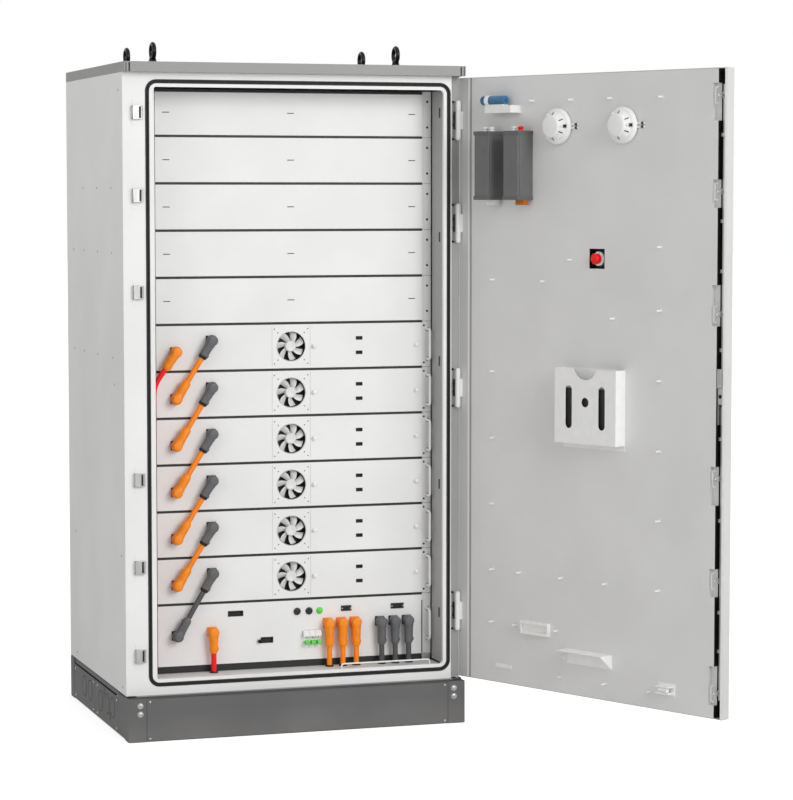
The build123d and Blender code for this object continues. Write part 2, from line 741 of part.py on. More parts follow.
def drop_cable(x):
    """A cable from a control box connector straight down into its gland."""
    cable_run((x, cable_y, control_head_level - elbow_length), (x, cable_y, floor_level - plate - 6))


with BuildPart() as orange_cables:
    for upper, lower, run in jumpers[:-1]:
        jumper_cable(upper, lower, run)
    for x in control_orange_x:
        drop_cable(x)
write(orange_cables.part, "orange_cables")

with BuildPart() as dark_cables:
    jumper_cable(*jumpers[-1])
    for x in control_dark_x:
        drop_cable(x)
write(dark_cables.part, "dark_cables")

red_start = along((orange_heads[0][0], cable_y, orange_heads[0][1]), red_direction, elbow_length)
with BuildPart() as red_cables:
    drop_cable(dark_head_x)
    with BuildLine() as red_route:
        FilletPolyline(red_start, along(red_start, red_direction, 56), (red_x, cable_y, red_start[2] - 200),
                       (red_x, cable_y, floor_level - plate - 6), radius=90)
    with BuildSketch(Plane(red_start, z_dir=red_direction)):
        Circle(cable_radius)
    sweep(path=red_route.wires()[0])
write(red_cables.part, "red_cables")

gland_bore = cable_radius + clearance
with BuildPart() as cable_glands:
    for x in gland_places:
        with BuildSketch(Plane((x, cable_y, floor_level), z_dir=(0, 0, 1))):
            RegularPolygon(14.5, 6)
        extrude(amount=gland_height - 4)
        rod_z(x, cable_y, (floor_level, gland_top), 12.5)
        rod_z(x, cable_y, (floor_level - plate - 5, floor_level), gland_radius - clearance)
        rod_z(x, cable_y, (floor_level - plate - 8, gland_top), gland_bore, Mode.SUBTRACT)
write(cable_glands.part, "cable_glands")

bar_x = (150.0, 432.0)
bar_y = body_front + 30
bar_level = floor_level + 26
bar_radius = 2.5
with BuildPart() as cable_bar:
    for x in bar_x:
        rod_z(x, bar_y, (floor_level, bar_level), bar_radius)
        rod_z(x, bar_y, (floor_level, floor_level + 3), 7)
    rod_x((bar_x[0] - bar_radius, bar_x[1] + bar_radius), bar_y, bar_level, bar_radius)
write(cable_bar.part, "cable_bar")

# ================================================================ door
skin_back = door_outer + sheet
lock_x = channel_left + 12
lock_z = 1050.0
handle_shaft = 6.0
estop_x = -37.0
estop_z = 1428.0
estop_stem = 11.0
estop_window = (60.0, 58.0)

with BuildPart() as door_skin:
    block((door_left, door_right), (door_outer, door_inner), (door_bottom, door_top))
    block((door_left + sheet, door_right - sheet), (skin_back, door_inner - sheet),
          (door_bottom + sheet, door_top - sheet), Mode.SUBTRACT)
    block((channel_left, liner_right + 9), (door_inner - sheet, door_inner),
          (door_bottom + sheet, door_top - sheet), Mode.SUBTRACT)
    rod_y(lock_x, (door_outer, skin_back), lock_z, handle_shaft + clearance, Mode.SUBTRACT)
    rod_y(estop_x, (door_outer, skin_back), estop_z, estop_stem, Mode.SUBTRACT)
write_on_door(door_skin.part, "door_skin")

roller_levels = (1890.0, 1622.0, 1280.0, 818.0, 529.0, 209.0)
notch_depth = 20.0
notch_low = [min(a, b) - 34 for a, b in zip(keeper_levels, roller_levels)]
notch_high = [max(a, b) + 34 for a, b in zip(keeper_levels, roller_levels)]
with BuildPart() as door_liner:
    liner_z = (door_bottom + sheet + clearance, door_top - sheet - clearance)
    block((liner_left, liner_right), (skin_back + clearance, door_inner), liner_z)
    block((liner_left + sheet, liner_right - sheet), (skin_back + clearance, door_inner - sheet), liner_z,
          Mode.SUBTRACT)
    block((estop_x - estop_window[0] / 2, estop_x + estop_window[0] / 2), (door_inner - sheet, door_inner),
          (estop_z - estop_window[1] / 2, estop_z + estop_window[1] / 2), Mode.SUBTRACT)
    for low, high in zip(notch_low, notch_high):
        block((liner_left, liner_left + notch_depth), (skin_back + clearance, door_inner), (low, high),
              Mode.SUBTRACT)
write_on_door(door_liner.part, "door_liner")

case_y = (skin_back + clearance, door_inner - 4)
rod_half = 3.0
rod_y_mid = (case_y[0] + case_y[1]) / 2 + 2
roller_radius = 6.0


def lock_rod(start, end, rollers):
    """A flat lock rod with roller arms that run into the keepers."""
    with BuildPart() as rod:
        block((lock_x - rod_half, lock_x + rod_half), (rod_y_mid - 2, rod_y_mid + 2), (start, end))
        for level in rollers:
            block((lock_x - rod_half, keeper_x + roller_radius), (rod_y_mid - 4, rod_y_mid - 1),
                  (level - 8, level + 8))
            rod_y(keeper_x, (rod_y_mid - 4, door_inner - 2), level, roller_radius)
    return rod.part


write_on_door(lock_rod(lock_z + 30, 1920.0, roller_levels[:3]), "lock_rod_upper")
write_on_door(lock_rod(190.0, lock_z - 30, roller_levels[3:]), "lock_rod_lower")

guide_levels = (1780.0, 1540.0, 1400.0, 1180.0, 930.0, 700.0, 440.0, 330.0)
escutcheon_width = 34.0
escutcheon_height = 190.0
escutcheon_thickness = 6.0
grip_out = 30.0
grip_length = 150.0
with BuildPart() as lock_case:
    block((lock_x - 9, lock_x + 9), case_y, (lock_z - 80, lock_z + 77))
    block((lock_x - 6, lock_x + 6), (case_y[0] + 4, case_y[1]), (lock_z - 80, lock_z - 22), Mode.SUBTRACT)
    block((lock_x - 6, lock_x + 6), (case_y[0] + 4, case_y[1]), (lock_z + 22, lock_z + 77), Mode.SUBTRACT)
    block((lock_x - 9, lock_x + 10), (case_y[1], case_y[1] + 2), (lock_z + 23, lock_z + 77))
    for level in guide_levels:
        block((lock_x - 8, lock_x + 8), (skin_back, rod_y_mid + 5), (level - 5, level + 5))
        block((lock_x - rod_half - clearance, lock_x + rod_half + clearance),
              (rod_y_mid - 2 - clearance, rod_y_mid + 2 + clearance), (level - 5, level + 5), Mode.SUBTRACT)
    block((lock_x - 8, lock_x + escutcheon_width - 8), (door_outer - escutcheon_thickness, door_outer),
          (lock_z - escutcheon_height / 2, lock_z + escutcheon_height / 2))
    rod_y(lock_x, (door_outer - 7, case_y[1] + 4), lock_z, handle_shaft + pin_clearance, Mode.SUBTRACT)
write_on_door(lock_case.part, "lock_case")

with BuildPart() as door_handle:
    rod_y(lock_x, (door_outer - grip_out, case_y[1] - 2), lock_z, handle_shaft)
    rod_y(lock_x, (door_outer - grip_out, door_outer - 6.5), lock_z, 8)
    block((lock_x - 8, lock_x + 8), (door_outer - grip_out - 8, door_outer - grip_out + 4),
          (lock_z - grip_length, lock_z + 8))
write_on_door(door_handle.part, "door_handle")

# ---------------------------------------------------------------- emergency stop
with BuildPart() as estop_housing:
    rod_y(estop_x, (door_outer - 6, door_outer), estop_z, 20)
    rod_y(estop_x, (door_outer, skin_back + 14), estop_z, estop_stem - clearance)
    rod_y(estop_x, (skin_back + 4, skin_back + 14), estop_z, 16)
    block((estop_x - 15, estop_x + 15), (skin_back + 14, door_inner + 6), (estop_z - 15, estop_z + 15))
    rod_y(estop_x, (door_outer - 7, door_outer + 12), estop_z, 6.05, Mode.SUBTRACT)
write_on_door(estop_housing.part, "estop_housing")

with BuildPart() as estop_button:
    rod_y(estop_x, (door_outer - 26, door_outer - 12), estop_z, 20)
    rod_y(estop_x, (door_outer - 12, door_outer + 6), estop_z, 6)
    fillet(estop_button.edges().filter_by(GeomType.CIRCLE).group_by(SortBy.RADIUS)[-1].sort_by(Axis.Y)[0], 4)
write_on_door(estop_button.part, "estop_button")

# ---------------------------------------------------------------- equipment on the door's inner face
detector_places = ((113.0, 1813.0), (-141.0, 1812.0))
detector_radius = 53.0
with BuildPart() as smoke_detectors:
    for x, level in detector_places:
        block((x - 75, x + 40), (door_inner, door_inner + 3), (level - 14, level + 14))
        rod_y(x, (door_inner + 3, door_inner + 18), level, detector_radius)
        rod_y(x, (door_inner + 18, door_inner + 34), level, detector_radius - 11)
        rod_y(x, (door_inner + 34, door_inner + 42), level, detector_radius - 22)
write_on_door(smoke_detectors.part, "smoke_detectors")

unit_places = (368.0, 249.0)
unit_width = 62.0
unit_depth = 64.0
unit_z = (1598.0, 1802.0)
with BuildPart() as suppression_units:
    for x in unit_places:
        block((x - unit_width / 2, x + unit_width / 2), (door_inner, door_inner + unit_depth), unit_z)
        block((x - unit_width / 2 - 1, x + unit_width / 2 + 1), (door_inner, door_inner + unit_depth + 1.5),
              (unit_z[0], unit_z[0] + 11))
        block((x - unit_width / 2 - 1, x + unit_width / 2 + 1), (door_inner, door_inner + unit_depth + 1.5),
              (unit_z[1] - 12, unit_z[1]))
        for offset in (-13, 13):
            rod_z(x + offset, door_inner + 24, (unit_z[1], unit_z[1] + 14), 9)
        block((x - 27, x + 6), (door_inner + 12, door_inner + 30), (unit_z[0] - 15, unit_z[0]))
write_on_door(suppression_units.part, "suppression_units")

sensor_z = 1893.0
sensor_x = (300.0, 402.0)
sensor_radius = 14.0
shelf_x = (268.0, 374.0)
shelf_z = (1856.0, 1878.0)
with BuildPart() as door_sensor:
    rod_x((sensor_x[0], sensor_x[1]), door_inner + 24, sensor_z + 0.8, sensor_radius)
    rod_x((sensor_x[1] - 34, sensor_x[1] - 18), door_inner + 24, sensor_z + 0.8, sensor_radius + 1)
    block((sensor_x[0] + 8, shelf_x[1] - 4), (door_inner + 14, door_inner + 34), (shelf_z[1], sensor_z))
write_on_door(door_sensor.part, "door_sensor")

pocket_x = (-149.0, 88.0)
pocket_z = (889.0, 1108.0)
pocket_depth = 42.0
pocket_sheet = 2.0
with BuildPart() as document_pocket:
    block(pocket_x, (door_inner, door_inner + pocket_depth), pocket_z)
    block((pocket_x[0] + pocket_sheet, pocket_x[1] - pocket_sheet),
          (door_inner + pocket_sheet, door_inner + pocket_depth - pocket_sheet),
          (pocket_z[0] + pocket_sheet, pocket_z[1] + 1), Mode.SUBTRACT)
    block(pocket_x, (door_inner, door_inner + pocket_sheet), (pocket_z[0] - 16, pocket_z[0]))
    face = (door_inner + pocket_depth - pocket_sheet, door_inner + pocket_depth)
    centre = (pocket_x[0] + pocket_x[1]) / 2
    rod_y(centre, face, pocket_z[1] + 18, 50, Mode.SUBTRACT)
    for x in (centre - 64, centre + 64):
        block((x - 13, x + 13), face, (pocket_z[0] + 57, pocket_z[1] - 62), Mode.SUBTRACT)
        for level in (pocket_z[0] + 57, pocket_z[1] - 62):
            rod_y(x, face, level, 13, Mode.SUBTRACT)
    rod_y(centre, face, pocket_z[0] + 122, 14, Mode.SUBTRACT)
write_on_door(document_pocket.part, "document_pocket")

stud_columns = ((377.0, (1359, 1082, 881, 681, 481, 321)), (-280.0, (1890, 1465, 1284, 1083, 882, 682, 481)),
                (217.0, (1890,)), (64.0, (1890, 1423)), (-88.0, (1890,)), (172.0, (1358,)), (-103.0, (1256,)),
                (265.0, (481,)), (95.0, (481, 186)), (-78.0, (481, 186)), (-252.0, (186,)), (280.0, (321,)),
                (114.0, (321,)))

stud_radius = 3.2
stud_length = 18.0
shelf_bracket_x = (-103.0, 74.0)
shelf_bracket_z = (230.0, 274.0)
catch_x = (-344.0, -284.0)
catch_z = 201.0
with BuildPart() as door_brackets:
    block(shelf_x, (door_inner, door_inner + 44), shelf_z)
    block((shelf_x[0] + 2, shelf_x[1] - 2), (door_inner + 2, door_inner + 42), (shelf_z[0] - 1, shelf_z[1] - 2),
          Mode.SUBTRACT)
    for x, levels in stud_columns:
        for level in levels:
            rod_y(x, (door_inner, door_inner + stud_length), level, stud_radius)
    with BuildSketch(Plane((shelf_bracket_x[0], door_inner, shelf_bracket_z[1]), x_dir=(0, 1, 0), z_dir=(1, 0, 0))):
        with BuildLine():
            Polyline((0, 0), (52, 0), (0, shelf_bracket_z[0] - shelf_bracket_z[1]), (0, 0))
        make_face()
    extrude(amount=shelf_bracket_x[1] - shelf_bracket_x[0])
    block((shelf_bracket_x[0] + 2, shelf_bracket_x[1] - 2), (door_inner + 2, door_inner + 60),
          (shelf_bracket_z[0] - 10, shelf_bracket_z[1] - 2), Mode.SUBTRACT)
    block((141, 253), (door_inner, door_inner + 12), (300, 339))
    block((145, 249), (door_inner + 2, door_inner + 12), (308, 331), Mode.SUBTRACT)
    block((298, 363), (door_inner, door_inner + 3), (184, 196))
    block(catch_x, (door_inner, door_inner + 3), (catch_z - 17, catch_z + 17))
    for side in (-1, 1):
        level = catch_z + side * 9
        block((catch_x[0] + 6, catch_x[1] - 6), (door_inner + 3, door_inner + 24), (level - 2, level + 2))
    rod_x((catch_x[0] + 14, catch_x[1] - 14), door_inner + 17, catch_z, 6.9)
write_on_door(door_brackets.part, "door_brackets")
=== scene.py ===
"""Looks of an outdoor battery cabinet with an open door: finishes for the nodes and detailed small pieces."""

import json
import math

import bmesh
import bpy
from mathutils import Matrix, Vector


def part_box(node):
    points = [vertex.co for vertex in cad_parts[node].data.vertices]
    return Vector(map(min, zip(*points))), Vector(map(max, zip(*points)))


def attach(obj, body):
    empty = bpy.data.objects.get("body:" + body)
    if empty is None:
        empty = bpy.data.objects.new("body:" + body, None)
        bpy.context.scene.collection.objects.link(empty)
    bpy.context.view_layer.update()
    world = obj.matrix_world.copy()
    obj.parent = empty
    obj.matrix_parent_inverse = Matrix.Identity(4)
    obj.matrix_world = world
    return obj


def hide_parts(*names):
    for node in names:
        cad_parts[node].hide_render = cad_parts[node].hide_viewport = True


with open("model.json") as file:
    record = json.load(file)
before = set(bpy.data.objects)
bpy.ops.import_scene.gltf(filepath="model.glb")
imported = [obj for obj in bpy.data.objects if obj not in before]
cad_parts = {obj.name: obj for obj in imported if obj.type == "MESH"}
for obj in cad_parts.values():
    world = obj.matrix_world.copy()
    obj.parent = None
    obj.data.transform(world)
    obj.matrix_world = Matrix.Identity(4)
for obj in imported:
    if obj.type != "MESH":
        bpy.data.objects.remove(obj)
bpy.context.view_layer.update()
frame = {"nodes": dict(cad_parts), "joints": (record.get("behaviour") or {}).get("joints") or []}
nodes = frame["nodes"]
joints = {joint["name"]: joint for joint in frame["joints"]}

MM = 0.001


def mm(pairs):
    """Pairs of millimetres turned into metres."""
    return [(first * MM, second * MM) for first, second in pairs]


# ---------------------------------------------------------------- places read from the frame
module_names = [f"battery_module_{index}" for index in range(1, 7)]
module_boxes = [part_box(name) for name in module_names]
module_middles = [(low.z + high.z) / 2 for low, high in module_boxes]
face_y = module_boxes[0][0].y
centre_x = (module_boxes[0][0].x + module_boxes[0][1].x) / 2
ear_y = face_y + 5 * MM
ear_width = 30 * MM
face_left = module_boxes[0][0].x + ear_width
face_right = module_boxes[0][1].x - ear_width
control_low, control_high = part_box("control_box")
control_middle = (control_low.z + control_high.z) / 2
row_pitch = (module_middles[0] - module_middles[-1]) / 5
blank_middles = [module_middles[0] + row_pitch * row for row in range(5, 0, -1)]

pivot = Vector(joints["door_swing"]["pos_m"])
door_open = -math.radians(joints["door_swing"]["range_deg"][0])
door_turn = Matrix.Translation(pivot) @ Matrix.Rotation(door_open, 4, "Z") @ Matrix.Translation(-pivot)
door_back = door_turn.inverted()
door_bodies = ("door", "handle", "upper_rod", "lower_rod", "stop_button")


def closed_box(name):
    """A door node's lowest and highest corners with the door closed."""
    points = [door_back @ vertex.co for vertex in nodes[name].data.vertices]
    low = Vector([min(point[axis] for point in points) for axis in range(3)])
    high = Vector([max(point[axis] for point in points) for axis in range(3)])
    return low, high


def islands(name, turn=None):
    """The lowest and highest corners of each separate solid in a node, after an optional turn."""
    mesh = bmesh.new()
    mesh.from_mesh(nodes[name].data)
    if turn is not None:
        mesh.transform(turn)
    bmesh.ops.remove_doubles(mesh, verts=mesh.verts, dist=1e-5)
    left = set(mesh.verts)
    boxes = []
    while left:
        group, queue = [], [left.pop()]
        while queue:
            vertex = queue.pop()
            group.append(vertex.co.copy())
            for edge in vertex.link_edges:
                other = edge.other_vert(vertex)
                if other in left:
                    left.remove(other)
                    queue.append(other)
        boxes.append((Vector([min(point[axis] for point in group) for axis in range(3)]),
                      Vector([max(point[axis] for point in group) for axis in range(3)])))
    mesh.free()
    return sorted(boxes, key=lambda box: tuple(round(value, 4) for value in (*box[0], *box[1])))


# ---------------------------------------------------------------- materials
def srgb(red, green, blue):
    """A linear colour from display values of 0 to 255."""
    def linear(value):
        value /= 255
        return value / 12.92 if value <= 0.04045 else ((value + 0.055) / 1.055) ** 2.4
    return linear(red), linear(green), linear(blue)


def surface(name, colour, roughness, metallic=0.0, mottle=0.03, mottle_scale=4.0, grain_scale=1100.0,
            grain_height=0.03 * MM, stretch=(1, 1, 1), coat=0.0, dust=None):
    """A finish with slow colour variation, a fine grain in its relief and uneven roughness."""
    material = bpy.data.materials.new(name)
    material.use_nodes = True
    tree = material.node_tree
    shader = tree.nodes["Principled BSDF"]
    shader.inputs["Metallic"].default_value = metallic
    shader.inputs["Coat Weight"].default_value = coat
    coords = tree.nodes.new("ShaderNodeTexCoord")
    mapping = tree.nodes.new("ShaderNodeMapping")
    mapping.inputs["Scale"].default_value = stretch
    tree.links.new(coords.outputs["Object"], mapping.inputs["Vector"])
    broad = tree.nodes.new("ShaderNodeTexNoise")
    broad.inputs["Scale"].default_value = mottle_scale
    broad.inputs["Detail"].default_value = 5.0
    fine = tree.nodes.new("ShaderNodeTexNoise")
    fine.inputs["Scale"].default_value = grain_scale
    fine.inputs["Detail"].default_value = 2.0
    for noise in (broad, fine):
        tree.links.new(mapping.outputs["Vector"], noise.inputs["Vector"])
    tones = tree.nodes.new("ShaderNodeValToRGB")
    tones.color_ramp.elements[0].position = 0.35
    tones.color_ramp.elements[1].position = 0.65
    tones.color_ramp.elements[0].color = (*[value * (1 - mottle) for value in colour], 1)
    tones.color_ramp.elements[1].color = (*[min(1, value * (1 + mottle)) for value in colour], 1)
    tree.links.new(broad.outputs["Fac"], tones.inputs["Fac"])
    colour_out = tones.outputs["Color"]
    if dust:
        place = tree.nodes.new("ShaderNodeSeparateXYZ")
        tree.links.new(coords.outputs["Object"], place.inputs["Vector"])
        height = tree.nodes.new("ShaderNodeMapRange")
        height.inputs["From Min"].default_value = dust[1]
        height.inputs["From Max"].default_value = dust[0]
        height.inputs["To Max"].default_value = 0.35
        tree.links.new(place.outputs["Z"], height.inputs["Value"])
        patchy = tree.nodes.new("ShaderNodeMath")
        patchy.operation = "MULTIPLY"
        tree.links.new(height.outputs["Result"], patchy.inputs[0])
        tree.links.new(broad.outputs["Fac"], patchy.inputs[1])
        mix = tree.nodes.new("ShaderNodeMix")
        mix.data_type = "RGBA"
        mix.inputs["B"].default_value = (*srgb(168, 164, 156), 1)
        tree.links.new(patchy.outputs["Value"], mix.inputs["Factor"])
        tree.links.new(colour_out, mix.inputs["A"])
        colour_out = mix.outputs["Result"]
    tree.links.new(colour_out, shader.inputs["Base Color"])
    uneven = tree.nodes.new("ShaderNodeMapRange")
    uneven.inputs["To Min"].default_value = max(0.02, roughness - 0.06)
    uneven.inputs["To Max"].default_value = min(1.0, roughness + 0.06)
    tree.links.new(broad.outputs["Fac"], uneven.inputs["Value"])
    tree.links.new(uneven.outputs["Result"], shader.inputs["Roughness"])
    bump = tree.nodes.new("ShaderNodeBump")
    bump.inputs["Strength"].default_value = 0.5
    bump.inputs["Distance"].default_value = grain_height
    tree.links.new(fine.outputs["Fac"], bump.inputs["Height"])
    tree.links.new(bump.outputs["Normal"], shader.inputs["Normal"])
    return material


body_white = surface("body_powder_coat", srgb(240, 240, 239), 0.42)
module_white = surface("module_powder_coat", srgb(236, 236, 235), 0.45)
liner_white = surface("liner_powder_coat", srgb(224, 224, 223), 0.45)
roof_grey = surface("roof_powder_coat", srgb(152, 152, 150), 0.5)
# Painted shade: a grey standing for the shade inside the opening, on the hinge rebate, on the floor pan and in
# the liner gap
painted_shade_grey = surface("grey_sheet_painted_shade", srgb(168, 168, 167), 0.5, mottle=0.05)
skin_white = surface("door_skin_coat", srgb(208, 208, 207), 0.45)
plinth_grey = surface("plinth_powder_coat", srgb(97, 97, 98), 0.5, mottle=0.06, grain_height=0.08 * MM,
        dust=(0.0, 0.09))
galvanised = surface("galvanised_sheet", srgb(196, 198, 200), 0.38, metallic=0.75, mottle=0.14,
        mottle_scale=55,
        grain_scale=400)
zinc = surface("zinc_steel", srgb(190, 190, 188), 0.32, metallic=0.9, mottle=0.08, mottle_scale=90,
        grain_scale=1500, stretch=(1, 1, 0.1))
dark_steel = surface("blackened_steel", srgb(38, 38, 40), 0.22, metallic=0.85, mottle=0.1, mottle_scale=70)
rubber = surface("gasket_rubber", srgb(34, 34, 35), 0.72, mottle=0.12, mottle_scale=30, grain_scale=700,
        grain_height=0.1 * MM)
black_plastic = surface("black_plastic", srgb(20, 20, 21), 0.5, mottle=0.1, mottle_scale=60,
        grain_height=0.05 * MM)
dark_plastic = surface("dark_connector_plastic", srgb(96, 97, 99), 0.48, mottle=0.06, mottle_scale=60,
        grain_height=0.06 * MM)
dark_jacket = surface("dark_cable_jacket", srgb(78, 79, 81), 0.5, mottle=0.08, mottle_scale=45,
        grain_height=0.06 * MM)
orange_plastic = surface("orange_connector_plastic", srgb(255, 143, 8), 0.42, mottle=0.05, mottle_scale=60,
        grain_height=0.05 * MM)
orange_jacket = surface("orange_cable_jacket", srgb(255, 138, 4), 0.45, mottle=0.05, mottle_scale=45,
        grain_height=0.05 * MM)
red_jacket = surface("red_cable_jacket", srgb(240, 0, 0), 0.42, mottle=0.06, mottle_scale=45)
red_socket = surface("red_socket_plastic", srgb(150, 40, 8), 0.5, mottle=0.08, mottle_scale=60)
red_plastic = surface("red_plastic", srgb(238, 0, 0), 0.38, mottle=0.06, mottle_scale=50)
green_plastic = surface("green_plastic", srgb(112, 224, 96), 0.4, mottle=0.06, mottle_scale=50)
blue_metal = surface("blue_lacquer", srgb(44, 106, 148), 0.35, mottle=0.1, mottle_scale=50, coat=0.3)
copper = surface("copper_terminal", srgb(190, 112, 24), 0.4, metallic=0.4, mottle=0.12, mottle_scale=80)
white_plastic = surface("white_plastic", srgb(243, 243, 241), 0.4, mottle=0.02, mottle_scale=40,
        grain_height=0.04 * MM)
unit_grey = surface("unit_dark_paint", srgb(104, 105, 104), 0.5, mottle=0.05, mottle_scale=30,
        grain_height=0.06 * MM)
# Painted shade: a dark grey standing for the shade inside the document pocket
pocket_shade_finish = surface("pocket_painted_shade", srgb(58, 58, 58), 0.7, mottle=0.2, mottle_scale=14)
fan_white = surface("fan_grey_plastic", srgb(228, 228, 226), 0.42, mottle=0.03, mottle_scale=60)

finishes = {
    "plinth_frame": plinth_grey, "plinth_panels": plinth_grey, "left_side_panel": body_white,
    "right_side_panel": body_white, "rear_panel": body_white, "floor_pan": painted_shade_grey,
    "ceiling_panel": galvanised,
    "front_frame": body_white, "door_gasket": rubber, "roof_cap": roof_grey, "lock_keepers": white_plastic,
    "frame_hinges": white_plastic, "door_hinge_knuckles": white_plastic, "rack_uprights": galvanised,
    "rack_runners": galvanised, "blank_panels": module_white, "control_box": module_white,
    "fan_frames": black_plastic, "orange_cables": orange_jacket, "dark_cables": dark_jacket,
    "red_cables": red_jacket, "door_skin": skin_white, "door_liner": liner_white, "lock_rod_upper": zinc,
    "lock_rod_lower": zinc, "lock_case": zinc, "document_pocket": white_plastic,
    "door_brackets": white_plastic,
}
finishes.update({name: module_white for name in module_names})
for name, material in finishes.items():
    data = nodes[name].data
    data.materials.clear()
    data.materials.append(material)


# ---------------------------------------------------------------- shapes
class Shape:
    """A mesh gathered from boxes, turned profiles, tubes and thin curved plates, in metres."""

    def __init__(self):
        self.mesh = bmesh.new()

    def box(self, low, high):
        """A box between two opposite corners, in any order."""
        low, high = (Vector([pick(pair) for pair in zip(low, high)]) for pick in (min, max))
        made = bmesh.ops.create_cube(self.mesh, size=1.0)["verts"]
        size = high - low
        for vertex in made:
            vertex.co = Vector([low[axis] + (vertex.co[axis] + 0.5) * size[axis] for axis in range(3)])

    def turned(self, centre, axis, profile, segments=28):
        """A solid of revolution from (distance along the axis, radius) pairs."""
        axis = Vector(axis).normalized()
        side = axis.orthogonal().normalized()
        other = axis.cross(side)
        rings = []
        for distance, radius in profile:
            middle = Vector(centre) + axis * distance
            count = segments if radius else 1
            angles = [2 * math.pi * (step + 0.5) / segments for step in range(count)]
            rings.append([self.mesh.verts.new(middle + (side * math.cos(a) + other * math.sin(a)) * radius)
                          for a in angles])
        for near, far in zip(rings, rings[1:]):
            for step in range(segments):
                after = (step + 1) % segments
                corners = [near[step % len(near)], near[after % len(near)],
                           far[after % len(far)], far[step % len(far)]]
                corners = list(dict.fromkeys(corners))
                if len(corners) > 2:
                    self.mesh.faces.new(corners)
        hollow = profile[0] == profile[-1]
        for ring in () if hollow else (rings[0], rings[-1]):
            if len(ring) > 2:
                self.mesh.faces.new(ring)

    def tube(self, points, radius, segments=14, closed=False):
        """A round tube along points."""
        points = [Vector(point) for point in points]
        count = len(points)
        rings, side = [], None
        for index, point in enumerate(points):
            before = points[index - 1] if index or closed else point
            after = points[(index + 1) % count] if index < count - 1 or closed else point
            along = (after - before).normalized()
            side = along.orthogonal() if side is None else side - along * side.dot(along)
            side.normalize()
            other = along.cross(side)
            rings.append([self.mesh.verts.new(point + (side * math.cos(a) + other * math.sin(a)) * radius)
                          for a in [2 * math.pi * step / segments for step in range(segments)]])
        self.loft(rings, closed)

    def loft(self, rings, closed=False):
        """Faces between rings of vertices, and a cap on each end unless the rings close on themselves."""
        pairs = list(zip(rings, rings[1:])) + ([(rings[-1], rings[0])] if closed else [])
        for near, far in pairs:
            for step in range(len(near)):
                after = (step + 1) % len(near)
                self.mesh.faces.new((near[step], near[after], far[after], far[step]))
        if not closed:
            self.mesh.faces.new(rings[0])
            self.mesh.faces.new(rings[-1])

    def add(self, other, matrix):
        """Takes in another shape, moved by a matrix."""
        other.mesh.transform(matrix)
        temporary = bpy.data.meshes.new("added")
        other.mesh.to_mesh(temporary)
        other.mesh.free()
        self.mesh.from_mesh(temporary)
        bpy.data.meshes.remove(temporary)

    def curved_plate(self, rows, thickness):
        """A thin plate whose front face goes through rows of points, thickened along a vector."""
        front = [[self.mesh.verts.new(point) for point in row] for row in rows]
        rear = [[self.mesh.verts.new(Vector(point) + Vector(thickness)) for point in row] for row in rows]
        for grid in (front, rear):
            for near, far in zip(grid, grid[1:]):
                for step in range(len(near) - 1):
                    self.mesh.faces.new((near[step], near[step + 1], far[step + 1], far[step]))
        rims = [(front[0], rear[0]), (front[-1], rear[-1]),
                ([row[0] for row in front], [row[0] for row in rear]),
                ([row[-1] for row in front], [row[-1] for row in rear])]
        for outer, inner in rims:
            for step in range(len(outer) - 1):
                self.mesh.faces.new((outer[step], outer[step + 1], inner[step + 1], inner[step]))

    def done(self, name, material, body="cabinet", replaces=(), bevel=0):
        """Turns the gathered mesh into one piece riding on a body. Door pieces are built with the door closed."""
        bmesh.ops.recalc_face_normals(self.mesh, faces=self.mesh.faces)
        if body in door_bodies:
            self.mesh.transform(door_turn)
        data = bpy.data.meshes.new(name)
        self.mesh.to_mesh(data)
        self.mesh.free()
        data.materials.append(material)
        data.shade_smooth()
        data.set_sharp_from_angle(angle=math.radians(38))
        made = bpy.data.objects.new(name, data)
        bpy.context.scene.collection.objects.link(made)
        if bevel:
            modifier = made.modifiers.new("edges", "BEVEL")
            modifier.width = bevel
            modifier.segments = 2
            modifier.limit_method = "ANGLE"
            modifier.angle_limit = math.radians(50)
        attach(made, body)
        if replaces:
            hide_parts(*replaces)
        return made


def rounded_path(corners, radius, steps=6):
    """A polyline whose inner corners are rounded."""
    corners = [Vector(corner) for corner in corners]
    path = [corners[0]]
    for before, corner, after in zip(corners, corners[1:], corners[2:]):
        into = (corner - before).normalized()
        out = (after - corner).normalized()
        start, end = corner - into * radius, corner + out * radius
        for step in range(steps + 1):
            share = step / steps
            path.append(start * (1 - share) ** 2 + corner * 2 * share * (1 - share) + end * share ** 2)
    return path + [corners[-1]]


def screw(shape, centre, axis, radius, height):
    """A low domed screw head."""
    shape.turned(centre, axis, [(-height, radius), (0, radius), (height * 0.6, radius * 0.86),
            (height, radius * 0.45), (height * 0.7, radius * 0.3), (height * 0.7, 0)], 14)


def hex_bolt(shape, centre, axis, radius, height):
    """A hexagon head on its washer."""
    shape.turned(centre, axis, [(-0.5 * MM, radius * 1.5), (height * 0.3, radius * 1.5), (height * 0.3, 0)],
                 24)
    shape.turned(centre, axis, [(height * 0.3, radius), (height * 0.85, radius), (height, radius * 0.82),
            (height, 0)], 6)


OUT = (0, -1, 0)
IN = (0, 1, 0)

